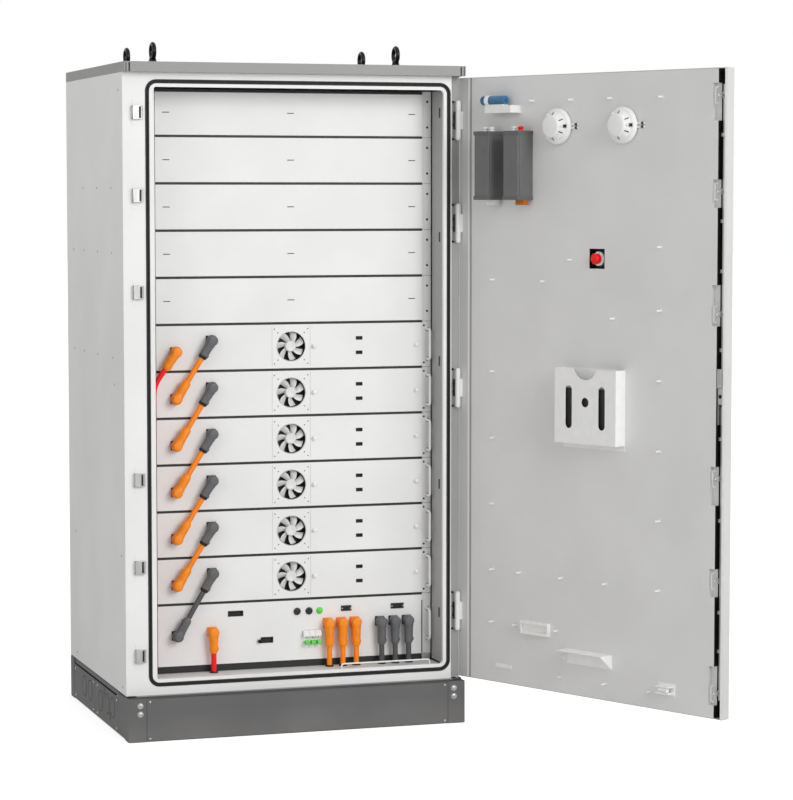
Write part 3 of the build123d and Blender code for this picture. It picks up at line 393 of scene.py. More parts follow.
# ---------------------------------------------------------------- fans
blade_count = 7
hub_radius = 17 * MM
blade_thickness = 1.4 * MM
blade_half_root = 0.37
blade_half_tip = 0.235
blade_sweep = 0.22
for index in range(1, 7):
    low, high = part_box(f"fan_rotor_{index}")
    middle = (low.z + high.z) / 2
    rotor_radius = (high.z - low.z) / 2
    rotor_depth = high.y - low.y
    rotor = Shape()
    rotor.turned((centre_x, low.y, middle), IN,
                 [(0.4 * MM, 0), (0.4 * MM, 9 * MM), (0, 10 * MM), (0, 14.5 * MM),
                  (1.5 * MM, hub_radius - 0.6 * MM),
                  (4 * MM, hub_radius), (rotor_depth, hub_radius), (rotor_depth, 0)], 40)
    for blade in range(blade_count):
        base = 2 * math.pi * (blade + 0.25) / blade_count
        rows = []
        for out in range(7):
            share = out / 6
            reach = hub_radius - 1 * MM + (rotor_radius - hub_radius + 0.4 * MM) * share
            half = blade_half_root + (blade_half_tip - blade_half_root) * share
            lean = (5.5 - 1.5 * share) * MM
            row = []
            for across in range(7):
                side = across / 3 - 1
                angle = base + blade_sweep * share ** 1.4 + half * side
                bow = 1.6 * MM * (1 - side * side)
                row.append((centre_x + math.cos(angle) * reach,
                            low.y + rotor_depth / 2 + lean * side - bow, middle + math.sin(angle) * reach))
            rows.append(row)
        rotor.curved_plate(rows, (0, blade_thickness, 0))
    rotor.done(f"fan_rotor_detail_{index}", fan_white, f"fan_{index}", (f"fan_rotor_{index}",))

fan_screws, fan_rims, fan_shade_discs, fold_shade_lines = Shape(), Shape(), Shape(), Shape()
fan_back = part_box("fan_frames")[1].y
for middle in module_middles:
    for half in (52.5 * MM, 41.2 * MM):
        for x in (-half, half):
            for z in (-half, half):
                screw(fan_screws, (centre_x + x, face_y, middle + z), OUT, 1.9 * MM, 0.7 * MM)
    fan_rims.turned((centre_x, face_y, middle), IN,
            mm([(-0.6, 44.2), (-0.6, 46.2), (0.6, 47), (3, 47), (3, 44.2), (-0.6, 44.2)]), 56)
    # Painted shade: a black disc behind each rotor stands for the dark inside of the module
    fan_shade_discs.turned((centre_x, fan_back + 0.5 * MM, middle), IN, mm([(0, 52), (1.5, 52)]), 48)
    # Painted shade: thin grey lines at the fan plate folds stand for the shade in the creases
    for side in (-60 * MM, 60 * MM):
        fold_shade_lines.box((centre_x + side - 0.35 * MM, face_y - 0.12 * MM, middle - 60 * MM),
                  (centre_x + side + 0.35 * MM, face_y + 0.2 * MM, middle + 60 * MM))
fan_screws.done("fan_screws", black_plastic)
fan_rims.done("fan_rims", zinc)
fan_shade_discs.done("fan_back_painted_shade", black_plastic)
fold_shade_lines.done("fan_plate_fold_shade", roof_grey)

# ---------------------------------------------------------------- module ports, knobs, handles and screws
port_x = 231 * MM
port_half = (10.5 * MM, 5.4 * MM)


def recessed_port(shape, x, z, half_x, half_z, wall, deep=9 * MM):
    """A socket: a raised rim, a floor set back and a tongue with contacts."""
    for side in (-1, 1):
        shape.box((x + side * half_x, face_y - 0.9 * MM, z - half_z),
                  (x + side * (half_x - wall), face_y + deep, z + half_z))
        shape.box((x - half_x, face_y - 0.9 * MM, z + side * half_z),
                  (x + half_x, face_y + deep, z + side * (half_z - wall)))
    shape.box((x - half_x, face_y + deep - 2 * MM, z - half_z), (x + half_x, face_y + deep, z + half_z))
    shape.box((x - half_x * 0.55, face_y + 1 * MM, z + half_z * 0.1),
              (x + half_x * 0.55, face_y + deep, z + half_z * 0.35))


ports = Shape()
for middle in module_middles:
    for offset in (22 * MM, -22 * MM):
        recessed_port(ports, port_x, middle + offset, *port_half, 1.2 * MM)
ports.done("module_ports", black_plastic, bevel=0.2 * MM)

knobs = Shape()
for low, high in islands("module_knobs"):
    knobs.turned(((low.x + high.x) / 2, face_y, (low.z + high.z) / 2), OUT,
                 mm([(0, 6), (1, 6), (1.6, 4), (3.6, 4), (4.6, 6), (8.5, 6.4), (11, 5), (12, 2.4), (12, 0)]),
                 24)
knobs.done("module_knobs_turned", white_plastic, replaces=("module_knobs",))

handle_low, handle_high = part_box("module_handles")
handle_x = (handle_low.x + handle_high.x) / 2
handle_y = handle_low.y + 4 * MM
handle_bar = 4 * MM
handle_half = 46 * MM
handles, handle_feet = Shape(), Shape()
for middle in module_middles + [control_middle]:
    path = rounded_path([(handle_x, ear_y, middle - handle_half), (handle_x, handle_y, middle - handle_half),
            (handle_x, handle_y, middle + handle_half), (handle_x, ear_y, middle + handle_half)],
            11 * MM)
    handles.tube(path, handle_bar)
    for level in (middle - handle_half, middle + handle_half):
        handle_feet.turned((handle_x, ear_y, level), OUT,
                mm([(0, 7), (1.6, 7), (2.5, 5.5), (2.5, 0)]), 24)
handles.done("module_handle_bars", white_plastic, replaces=("module_handles",))
handle_feet.done("module_handle_feet", zinc)

ear_screws = Shape()
for middle in blank_middles:
    for x in (face_left - 18 * MM, face_right + 18 * MM):
        for offset in (-39 * MM, 39 * MM):
            screw(ear_screws, (x, ear_y, middle + offset), OUT, 3.6 * MM, 1.6 * MM)
for middle in module_middles:
    for x in (face_left - 12 * MM, face_right + 8 * MM):
        for offset in (-57 * MM, 57 * MM):
            screw(ear_screws, (x, ear_y, middle + offset), OUT, 3.2 * MM, 1.4 * MM)
ear_screws.done("rack_screws", black_plastic)

# Painted shade: black plates behind the blank panel slots stand for the shade seen through them
blank_slot_shade = Shape()
for middle in blank_middles:
    for offset in (-385 * MM, 0, 385 * MM):
        blank_slot_shade.box((centre_x + offset - 11.5 * MM, face_y + 1.9 * MM, middle - 2 * MM),
                (centre_x + offset + 11.5 * MM, face_y + 3 * MM, middle + 2 * MM))
blank_slot_shade.done("blank_slot_painted_shade", black_plastic)

strip_half = 3.8 * MM
# Painted shade: black strips at the gaps between rows and under the top lip stand for the shade in those gaps
gap_shade_strips = Shape()
row_edges = [middle + row_pitch / 2 for middle in blank_middles[1:] + module_middles]
row_edges.append(module_middles[-1] - row_pitch / 2)
for level in row_edges:
    gap_shade_strips.box((face_left, face_y - 0.3 * MM, level - strip_half),
            (face_right, face_y + 1 * MM, level + strip_half))
rack_top = blank_middles[0] + row_pitch / 2
gap_shade_strips.box((face_left - ear_width, face_y - 0.3 * MM, rack_top - 10 * MM),
        (face_right, face_y + 1 * MM, rack_top - 1 * MM))
gap_shade_strips.done("unit_gap_painted_shade", black_plastic)

throat_left, throat_right = -435 * MM, 466 * MM
frame_low, frame_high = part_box("front_frame")
# Painted shade: thin grey sheets over the white side walls of the opening stand for the shade inside it
throat = Shape()
slot_levels = (1861, 1485, 1107, 730, 334)
slot_half = 14 * MM
levels = [181 * MM]
for level in reversed(slot_levels):
    levels += [level * MM - slot_half, level * MM + slot_half]
levels.append(1927 * MM)
for x in (throat_left, throat_right):
    toward = 0.4 * MM if x < 0 else -0.4 * MM
    for bottom, top in zip(levels, levels[1:]):
        spans = ((frame_low.y + 13 * MM, frame_low.y + 31 * MM), (frame_low.y + 43 * MM, face_y - 1 * MM))
        for start, end in spans:
            throat.box((x, start, bottom), (x + toward, end, top))
    for bottom, top in list(zip(levels, levels[1:]))[::2]:
        throat.box((x, frame_low.y + 31 * MM, bottom), (x + toward, frame_low.y + 43 * MM, top))
throat.done("throat_painted_shade_sheets", painted_shade_grey)
# Painted shade: black plates behind the slots in the side walls stand for the shade seen through them
throat_slot_shade = Shape()
for level in slot_levels:
    for x, inward in ((throat_left, 1), (throat_right, -1)):
        throat_slot_shade.box((x + inward * 0.45 * MM, frame_low.y + 30 * MM, (level - 15) * MM),
                (x + inward * 0.6 * MM, frame_low.y + 44 * MM, (level + 15) * MM))
throat_slot_shade.done("throat_slot_painted_shade", black_plastic)
edge_trim = Shape()
edge_trim.box((throat_left + 0.1 * MM, frame_low.y + 0.3 * MM, 182 * MM),
              (throat_left + 4.5 * MM, frame_low.y + 3 * MM, 1926 * MM))
edge_trim.done("opening_edge_trim", body_white, bevel=0.5 * MM)
# Painted shade: a black strip at the step between the control face and its ear stands for the shade there
control_edge_shade = Shape()
control_edge_shade.box((face_right - 1.5 * MM, face_y - 0.3 * MM, control_low.z + 2 * MM),
              (face_right + 1.5 * MM, face_y + 1 * MM, control_high.z - 20 * MM))
control_edge_shade.done("control_edge_painted_shade", black_plastic)

# ---------------------------------------------------------------- power connectors
dark_head_x = -236 * MM
orange_head_x = -346 * MM
dark_rise = 22 * MM
orange_drop = 11 * MM
head_length = 38 * MM
head_radius = 17 * MM
cable_y = face_y - head_length + head_radius - 2 * MM
elbow_length = 62 * MM
socket_length = 12 * MM
control_head_z = control_low.z + 100 * MM
orange_columns = [(128 + 43 * step) * MM for step in range(3)]
dark_columns = [(296 + 43.5 * step) * MM for step in range(3)]
DOWN = Vector((0, 0, -1))


def connector(body_shape, socket_shape, collar_shape, x, z, along, longer=0):
    """An elbow plug: flanged socket, round head with a cap, barrel with a step, ribs and a latch lug."""
    along = Vector(along).normalized()
    socket_shape.box((x - 14.5 * MM, face_y - 2.5 * MM, z - 14.5 * MM),
            (x + 14.5 * MM, face_y + 1 * MM, z + 14.5 * MM))
    socket_shape.turned((x, face_y, z), OUT,
            [(1 * MM, 14 * MM), (socket_length, 14 * MM), (socket_length, 0)], 28)
    for side in (-1, 1):
        screw(socket_shape, (x + side * 12 * MM, face_y - 2.5 * MM, z + 12 * MM), OUT, 1.8 * MM, 1 * MM)
    body_shape.turned((x, face_y, z), OUT,
            [(socket_length, 16.4 * MM), (socket_length + 2 * MM, head_radius),
            (socket_length + 9 * MM, head_radius), (socket_length + 10 * MM, 16 * MM),
            (socket_length + 20 * MM, 15.6 * MM), (head_length - 2 * MM, 13.5 * MM),
            (head_length - 0.6 * MM, 10.5 * MM), (head_length - 0.6 * MM, 7 * MM),
            (head_length, 6.4 * MM), (head_length, 0)], 32)
    centre = Vector((x, cable_y, z))
    body_shape.turned(centre, along,
            [(0, 14.8 * MM), (17 * MM, 14.8 * MM), (19 * MM, 13.8 * MM), (24 * MM, 13.4 * MM),
            (24.6 * MM, 14.1 * MM), (27 * MM, 14.1 * MM), (27.6 * MM, 13.4 * MM),
            (48 * MM, 13.2 * MM),
            (55 * MM + longer, 13 * MM), (59 * MM + longer, 11.6 * MM),
            (elbow_length + longer, 9.4 * MM)], 28)
    across = along.cross(Vector(IN)).normalized()
    turn = Matrix((along, across, Vector(IN))).transposed().to_4x4()
    lug = Shape()
    lug.box((44 * MM + longer, 9 * MM, -4 * MM), (53 * MM + longer, 15 * MM, 4 * MM))
    lug.box((20 * MM, -3.5 * MM, -15 * MM), (40 * MM, 3.5 * MM, -11.5 * MM))
    body_shape.add(lug, Matrix.Translation(centre) @ turn)
    if collar_shape:
        collar_shape.turned(centre, along,
                [(53 * MM, 13.6 * MM), (58 * MM, 13.2 * MM), (elbow_length, 10.4 * MM),
                (elbow_length, 0)], 28)


dark_heads = [(dark_head_x, middle + dark_rise) for middle in module_middles]
orange_heads = [(orange_head_x, middle - orange_drop) for middle in module_middles]
jumper_ends = orange_heads[1:] + [(orange_head_x, control_middle)]
red_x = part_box("red_cables")[0].x + 8 * MM
dark_plugs, orange_plugs, dark_sockets, red_sockets, collars = Shape(), Shape(), Shape(), Shape(), Shape()
for step, (upper, lower) in enumerate(zip(dark_heads, jumper_ends)):
    run = Vector((lower[0] - upper[0], 0, lower[1] - upper[1])).normalized()
    connector(dark_plugs, dark_sockets, collars, *upper, run)
    if step < len(jumper_ends) - 1:
        connector(orange_plugs, red_sockets, None, *lower, -run)
    else:
        connector(dark_plugs, dark_sockets, None, *lower, -run)
connector(orange_plugs, red_sockets, None, *orange_heads[0], (red_x - orange_head_x, 0, -112 * MM))
connector(orange_plugs, orange_plugs, None, dark_head_x, control_head_z, DOWN)
for x in orange_columns:
    connector(orange_plugs, orange_plugs, None, x, control_head_z + 11 * MM, DOWN, 11 * MM)
for x in dark_columns:
    connector(dark_plugs, dark_sockets, None, x, control_head_z + 8 * MM, DOWN, 8 * MM)
dark_plugs.done("dark_plugs", dark_plastic, replaces=("dark_connectors",), bevel=0.4 * MM)
orange_plugs.done("orange_plugs", orange_plastic, replaces=("orange_connectors",), bevel=0.4 * MM)
dark_sockets.done("dark_sockets", black_plastic, bevel=0.4 * MM)
red_sockets.done("red_sockets", red_socket, bevel=0.4 * MM)
collars.done("plug_collars", black_plastic)

glands = Shape()
for low, high in islands("cable_glands"):
    x, y = (low.x + high.x) / 2, (low.y + high.y) / 2
    glands.turned((x, y, 0), (0, 0, 1), [(low.z, 10.7 * MM), (165 * MM, 10.7 * MM), (165 * MM, 14.4 * MM),
            (176 * MM, 14.4 * MM), (177 * MM, 13.4 * MM), (177 * MM, 8.2 * MM)],
            6)
    glands.turned((x, y, 0), (0, 0, 1), [(176 * MM, 12.4 * MM), (179 * MM, 12.4 * MM), (high.z, 10.6 * MM),
            (high.z, 8.2 * MM), (176 * MM, 8.2 * MM)], 30)
glands.done("cable_gland_nuts", black_plastic, replaces=("cable_glands",))

bar_low, bar_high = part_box("cable_bar")
bar_y = (bar_low.y + bar_high.y) / 2
bar_left = bar_low.x + 7 * MM
bar_right = bar_high.x - 7 * MM
bar_top = bar_high.z - 2.5 * MM
bar = Shape()
bar.tube(rounded_path([(bar_left, bar_y, bar_low.z), (bar_left, bar_y, bar_top), (bar_right, bar_y, bar_top),
        (bar_right, bar_y, bar_low.z)], 8 * MM), 2.5 * MM)
for x in (bar_left, bar_right):
    bar.turned((x, bar_y, bar_low.z), (0, 0, 1), mm([(0, 7), (2.2, 7), (3, 6), (3, 0)]), 24)
bar.done("cable_bar_bent", white_plastic, replaces=("cable_bar",))

# ---------------------------------------------------------------- control box face
# Painted shade: a black panel under the control box stands for the shadow beneath it
under_box_shade = Shape()
floor_top = 176 * MM
under_box_shade.box((control_low.x + ear_width, face_y + 3 * MM, floor_top),
         (control_high.x - ear_width, face_y + 4 * MM, control_low.z - 0.4 * MM))
under_box_shade.done("under_box_painted_shade", black_plastic)
floor_sheet = Shape()
floor_sheet.box((throat_left + 0.5 * MM, frame_low.y + 13 * MM, floor_top - 1 * MM),
        (throat_right - 0.5 * MM, face_y + 3 * MM, floor_top))
floor_sheet.done("floor_sheet", liner_white)
port_z = control_high.z - 35 * MM
dsub_boxes = islands("control_ports")
dsub_black, posts = Shape(), Shape()
for low, high in dsub_boxes:
    middle_z = (low.z + high.z) / 2
    dsub_black.box((low.x, face_y - 1.6 * MM, low.z), (high.x, face_y, high.z))
    dsub_black.box((low.x + 8 * MM, face_y - 5.2 * MM, middle_z - 2.4 * MM),
            (high.x - 8 * MM, face_y - 1 * MM, middle_z + 2.4 * MM))
    for x in (low.x + 3 * MM, high.x - 3 * MM):
        posts.turned((x, face_y, middle_z), OUT, mm([(1, 2.4), (5, 2.4), (5, 1.2), (3, 1.2), (3, 0)]), 6)
    rim = [(low.x + 6 * MM, middle_z + 5 * MM), (high.x - 6 * MM, middle_z + 5 * MM),
           (high.x - 8 * MM, middle_z - 5 * MM), (low.x + 8 * MM, middle_z - 5 * MM)]
    for (x1, z1), (x2, z2) in zip(rim, rim[1:] + rim[:1]):
        dsub_black.tube([(x1, face_y - 1 * MM, z1), (x1, face_y - 5.4 * MM, z1), (x2, face_y - 5.4 * MM, z2),
                (x2, face_y - 1 * MM, z2)], 0.9 * MM, 6)
recessed_port(dsub_black, -162 * MM, port_z, 24 * MM, 8 * MM, 1.5 * MM)
recessed_port(dsub_black, -63.5 * MM, control_low.z + 66 * MM, 19.5 * MM, 9 * MM, 1.5 * MM)
dsub_black.done("control_sockets", black_plastic, replaces=("control_ports",), bevel=0.2 * MM)
posts.done("socket_posts", zinc)
latch = Shape()
latch.turned((-88 * MM, face_y, control_low.z + 64 * MM), OUT,
             mm([(0, 5), (2, 5), (3, 3), (5, 3), (6, 6), (9, 6), (10.5, 4), (10.5, 0)]), 24)
latch.done("port_latch", dark_steel)

collar_rings = Shape()
for name in ("start_button", "reset_button"):
    low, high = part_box(name)
    x, z = (low.x + high.x) / 2, (low.z + high.z) / 2
    cap = Shape()
    cap.turned((x, low.y, z), IN, [(0.6 * MM, 0), (0.6 * MM, 6 * MM), (0, 6.6 * MM), (0.5 * MM, 8.4 * MM),
            (1.6 * MM, 9 * MM), (4.4 * MM, 9 * MM), (4.4 * MM, 6.8 * MM),
            (high.y - low.y, 6.8 * MM), (high.y - low.y, 0)], 32)
    cap.done(f"{name}_cap", black_plastic, name, (name,))
    collar_rings.turned((x, face_y, z), OUT,
            mm([(0, 11.2), (2, 11.2), (3, 10.4), (3, 9.3), (0, 9.3), (0, 11.2)]), 32)
collar_rings.done("button_collars", dark_steel)
low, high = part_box("status_lamp")
lamp = Shape()
lamp.turned(((low.x + high.x) / 2, face_y, (low.z + high.z) / 2), OUT,
            mm([(0, 10.5), (2.4, 10.5), (3.2, 9.6), (3.2, 8.4), (6, 7.8), (9, 5.8), (10.8, 3), (11.2, 0)]),
            32)
lamp.done("status_lamp_lens", green_plastic, replaces=("status_lamp",))

low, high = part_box("breaker_housing")
breaker = Shape()
poles = 3
pole_width = (high.x - low.x) / poles
toggle_low, toggle_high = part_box("breaker_toggle")
toggle_z = (toggle_low.z + toggle_high.z) / 2
toggle_y = face_y - 9 * MM
for pole in range(poles):
    left = low.x + pole * pole_width + 0.3 * MM
    right = low.x + (pole + 1) * pole_width - 0.3 * MM
    breaker.box((left, face_y - 10 * MM, low.z + 18 * MM + 14 * MM), (right, face_y, high.z))
    breaker.box((left, face_y - 16 * MM, high.z - 17 * MM), (right, face_y - 9 * MM, high.z - 4 * MM))
    breaker.box((left, face_y - 2 * MM, low.z), (right, face_y, high.z))
breaker.done("breaker_body", white_plastic, replaces=("breaker_housing",), bevel=0.5 * MM)
breaker_marks = Shape()
for pole in range(poles):
    breaker_marks.turned((low.x + (pole + 0.5) * pole_width, face_y - 10 * MM, high.z - 21 * MM), OUT,
            mm([(-1, 1.7), (0.3, 1.7), (0.3, 0)]), 16)
breaker_marks.done("breaker_windows", black_plastic)
toggles = Shape()
toggles.turned((toggle_low.x, toggle_y, toggle_z), (1, 0, 0),
        [(0, 2.6 * MM), (toggle_high.x - toggle_low.x, 2.6 * MM)], 24)
for pole in range(poles):
    x = low.x + (pole + 0.5) * pole_width
    toggles.box((x - 5.5 * MM, toggle_y - 15.5 * MM, toggle_z - 4 * MM),
                (x + 5.5 * MM, toggle_y, toggle_z + 4.5 * MM))
    for side in (-1, 1):
        toggles.box((x + side * 5.5 * MM, toggle_y - 13 * MM, toggle_z - 9 * MM),
                    (x + side * 2 * MM, toggle_y - 1 * MM, toggle_z))
toggles.box((low.x + 9.5 * MM, toggle_y - 6 * MM, toggle_z - 1 * MM),
            (high.x - 9.5 * MM, toggle_y - 4 * MM, toggle_z + 1 * MM))
toggles.done("breaker_levers", green_plastic, "breaker_toggle", ("breaker_toggle",), bevel=0.4 * MM)

# ---------------------------------------------------------------- outside of the body
eyes = Shape()
for low, high in islands("lifting_eyes"):
    x, y = (low.x + high.x) / 2, (low.y + high.y) / 2
    ring_z = high.z - 28.5 * MM
    circle = [(x, y + math.cos(2 * math.pi * step / 40) * 22 * MM,
               ring_z + math.sin(2 * math.pi * step / 40) * 22 * MM)
              for step in range(40)]
    eyes.tube(circle, 6.5 * MM, 20, closed=True)
    eyes.turned((x, y, low.z), (0, 0, 1),
                mm([(0, 20), (5.5, 20), (8, 18), (9, 14), (14, 11.5), (23, 9.5), (23, 0)]), 36)
eyes.done("lifting_eye_bolts", dark_steel, replaces=("lifting_eyes",))

bolts = Shape()
for low, high in islands("plinth_bolts"):
    middle = (low + high) / 2
    size = high - low
    if size.y < size.x:
        out = -1 if middle.y < 0 else 1
        radius = size.x / 2
        base = Vector((middle.x, high.y if out < 0 else low.y, middle.z))
        if radius > 5 * MM:
            hex_bolt(bolts, base, (0, out, 0), radius / 1.5, size.y)
        else:
            screw(bolts, base, (0, out, 0), radius, size.y)
    else:
        out = -1 if middle.x < 0 else 1
        screw(bolts, (high.x if out < 0 else low.x, middle.y, middle.z), (out, 0, 0), size.y / 2, size.x)
bolts.done("plinth_fasteners", zinc, replaces=("plinth_bolts",))

# Painted shade: black crescents on one side of each knock-out stand for the shade on its inner wall
knock_out_shade = Shape()
panels_low, panels_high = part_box("plinth_panels")
panel_start = panels_low.y + 149 * MM
knock_out_places = ((70, 68, 33), (150, 66, 33), (240, 60, 33), (395, 66, 33), (480, 66, 33), (110, 36, 12),
        (195, 98, 12))
for along_y, level, radius in knock_out_places:
    for x, out in ((panels_low.x, -1), (panels_high.x, 1)):
        rows = []
        for step in range(13):
            angle = math.radians(15 * step - 90)
            wide = max(3, 9 * math.cos(angle)) if radius > 20 else 6
            rows.append([(x + out * 0.1 * MM, panel_start + (along_y - math.cos(angle) * reach) * MM,
                          (level + math.sin(angle) * reach) * MM) for reach in (radius, radius - wide)])
        knock_out_shade.curved_plate(rows, (-out * 0.4 * MM, 0, 0))
knock_out_shade.done("knock_out_painted_shade", black_plastic)
seam_top, seam_bottom = 134 * MM, 130 * MM
# Partly painted shade: the black sheet and closures in the gap between plinth and body stand for the shade in
# that gap; the thin lines are the plinth's seams and post edges
plinth_seams_and_gap_shade = Shape()
plinth_seams_and_gap_shade.box((panels_low.x + 1 * MM, panels_low.y + 1 * MM, seam_bottom),
        (panels_high.x - 1 * MM, frame_low.y - 0.2 * MM, seam_bottom + 0.5 * MM))
for x in (panels_low.x + 0.6 * MM, panels_high.x - 1.6 * MM):
    plinth_seams_and_gap_shade.box((x, frame_low.y, seam_bottom + 0.2 * MM),
            (x + 1 * MM, panels_high.y - 2 * MM, seam_top - 0.2 * MM))
plinth_seams_and_gap_shade.box((panels_low.x + 2 * MM, panels_high.y - 2 * MM, seam_bottom + 0.2 * MM),
        (panels_high.x - 2 * MM, panels_high.y - 1 * MM, seam_top - 0.2 * MM))
for x in (panels_low.x + 54 * MM, panels_high.x - 54 * MM):
    plinth_seams_and_gap_shade.box((x - 0.7 * MM, panels_low.y - 0.1 * MM, 3 * MM),
            (x + 0.7 * MM, panels_low.y + 0.5 * MM, 127 * MM))
for y in (panel_start, panel_start + 328 * MM):
    for x in (panels_low.x, panels_high.x):
        plinth_seams_and_gap_shade.box((x - 0.15 * MM, y - 0.8 * MM, 3 * MM), (x + 0.15 * MM, y + 0.8 * MM, 112 * MM))
plinth_seams_and_gap_shade.done("plinth_seams_and_gap_shade", black_plastic)

keeper_bodies, keeper_slot_shade, keeper_flanges = Shape(), Shape(), Shape()
for low, high in islands("lock_keepers"):
    if high.z - low.z < 30 * MM:
        continue
    middle = (low.z + high.z) / 2
    left, right = low.x, high.x + 4 * MM
    back_y, front_y = high.y, low.y
    keeper_flanges.box((low.x, back_y - 1 * MM, middle - 39 * MM),
            (high.x - 2 * MM, back_y, middle + 39 * MM))
    for side in (-1, 1):
        keeper_bodies.box((left, front_y + 1 * MM, middle + side * 20 * MM),
                (right, back_y, middle + side * 16.5 * MM))
    keeper_bodies.box((left, front_y + 1 * MM, middle - 20 * MM), (left + 3 * MM, back_y, middle + 20 * MM))
    keeper_bodies.box((left, front_y, middle - 20 * MM),
            (right - 11 * MM, front_y + 2 * MM, middle + 20 * MM))
    keeper_bodies.tube([(right - 3 * MM, front_y + 3 * MM, middle - 19 * MM),
            (right - 3 * MM, front_y + 3 * MM, middle + 19 * MM)], 3 * MM)
    keeper_slot_shade.box((left + 3 * MM, front_y + 3 * MM, middle - 16.5 * MM),
            (right - 5 * MM, back_y - 1 * MM, middle + 16.5 * MM))
keeper_bodies.done("keeper_catches", zinc, replaces=("lock_keepers",), bevel=0.8 * MM)
# Painted shade: black boxes in the catches' slots stand for the shade inside them
keeper_slot_shade.done("keeper_slot_shade", black_plastic)
keeper_flanges.done("keeper_flanges", body_white, bevel=0.3 * MM)

rebate_y = frame_low.y + 24 * MM
# Painted shade: a grey sheet on the hinge-side rebate stands for the shadow of the door and the frame's step
rebate_shade = Shape()
frame_right = frame_high.x
rebate_shade.box((491.4 * MM, rebate_y - 0.5 * MM, frame_low.z + 2 * MM),
           (frame_right - 1 * MM, rebate_y, frame_high.z - 2 * MM))
rebate_shade.box((491 * MM, frame_low.y + 0.2 * MM, frame_low.z + 2 * MM),
           (491.4 * MM, rebate_y, frame_high.z - 2 * MM))
rebate_shade.done("hinge_rebate_painted_shade", painted_shade_grey)
hinge_marks = Shape()
for low, high in islands("frame_hinges"):
    middle = (low.z + high.z) / 2
    hinge_marks.box((low.x - 3.5 * MM, rebate_y - 6 * MM, middle - 26 * MM),
            (low.x - 0.5 * MM, rebate_y - 0.5 * MM, middle + 26 * MM))
    for side in (-1, 1):
        screw(hinge_marks, (low.x - 4 * MM, rebate_y - 0.5 * MM, middle + side * 56 * MM), OUT, 4 * MM,
              3 * MM)
        hinge_marks.box((low.x - 5 * MM, rebate_y - 6 * MM, middle + side * 13 * MM - 3 * MM),
                (low.x - 0.5 * MM, rebate_y - 0.5 * MM, middle + side * 13 * MM + 3 * MM))
hinge_marks.done("hinge_fixings", black_plastic, bevel=0.3 * MM)

roof_low, roof_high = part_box("roof_cap")
# Painted shade: black plates behind the roof slots stand for the shade seen through them
roof_slot_shade = Shape()
for side in (-1, 1):
    edge = side * (roof_high.x - 3 * MM)
    roof_slot_shade.box((edge, roof_low.y + 2.2 * MM, roof_low.z + 1 * MM),
            (edge - side * 15 * MM, roof_low.y + 2.9 * MM, roof_high.z - 4 * MM))
roof_slot_shade.done("roof_slot_painted_shade", black_plastic)

left_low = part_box("left_side_panel")[0]
right_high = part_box("right_side_panel")[1]
rivet_rows = ((1634, (171, -28, -228)), (1441, (322, 167, -31, -232)), (1129, (318, 171, -26, -237)),
              (1919.5, (-331,)), (1050, (-255,)), (547, (-338,)), (153.5, (-341,)), (544, (327,)),
              (156, (320,)))
rivets = Shape()
for level, places in rivet_rows:
    for y in places:
        for x, out in ((left_low.x, -1), (right_high.x, 1)):
            rivets.turned((x, y * MM, level * MM), (out, 0, 0),
                          mm([(-1, 2.9), (0, 3.4), (0.3, 2.4), (0.3, 0)]), 16)
rivets.done("side_rivets", dark_jacket)

rear_low, rear_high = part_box("rear_panel")
rear_screws = Shape()
for z in [rear_low.z + 25 * MM + step * (rear_high.z - rear_low.z - 50 * MM) / 6 for step in range(7)]:
    for x in (rear_low.x + 14 * MM, rear_high.x - 14 * MM):
        screw(rear_screws, (x, rear_high.y - 1.6 * MM, z), IN, 5 * MM, 1.6 * MM)
for x in [rear_low.x + 14 * MM + step * (rear_high.x - rear_low.x - 28 * MM) / 4 for step in range(1, 4)]:
    for z in (rear_low.z + 25 * MM, rear_high.z - 25 * MM):
        screw(rear_screws, (x, rear_high.y - 1.6 * MM, z), IN, 5 * MM, 1.6 * MM)
rear_screws.done("rear_panel_screws", zinc)

# ---------------------------------------------------------------- door, built closed and then turned
skin_low, skin_high = closed_box("door_skin")
liner_low, liner_high = closed_box("door_liner")
inner = skin_high.y
outer = skin_low.y

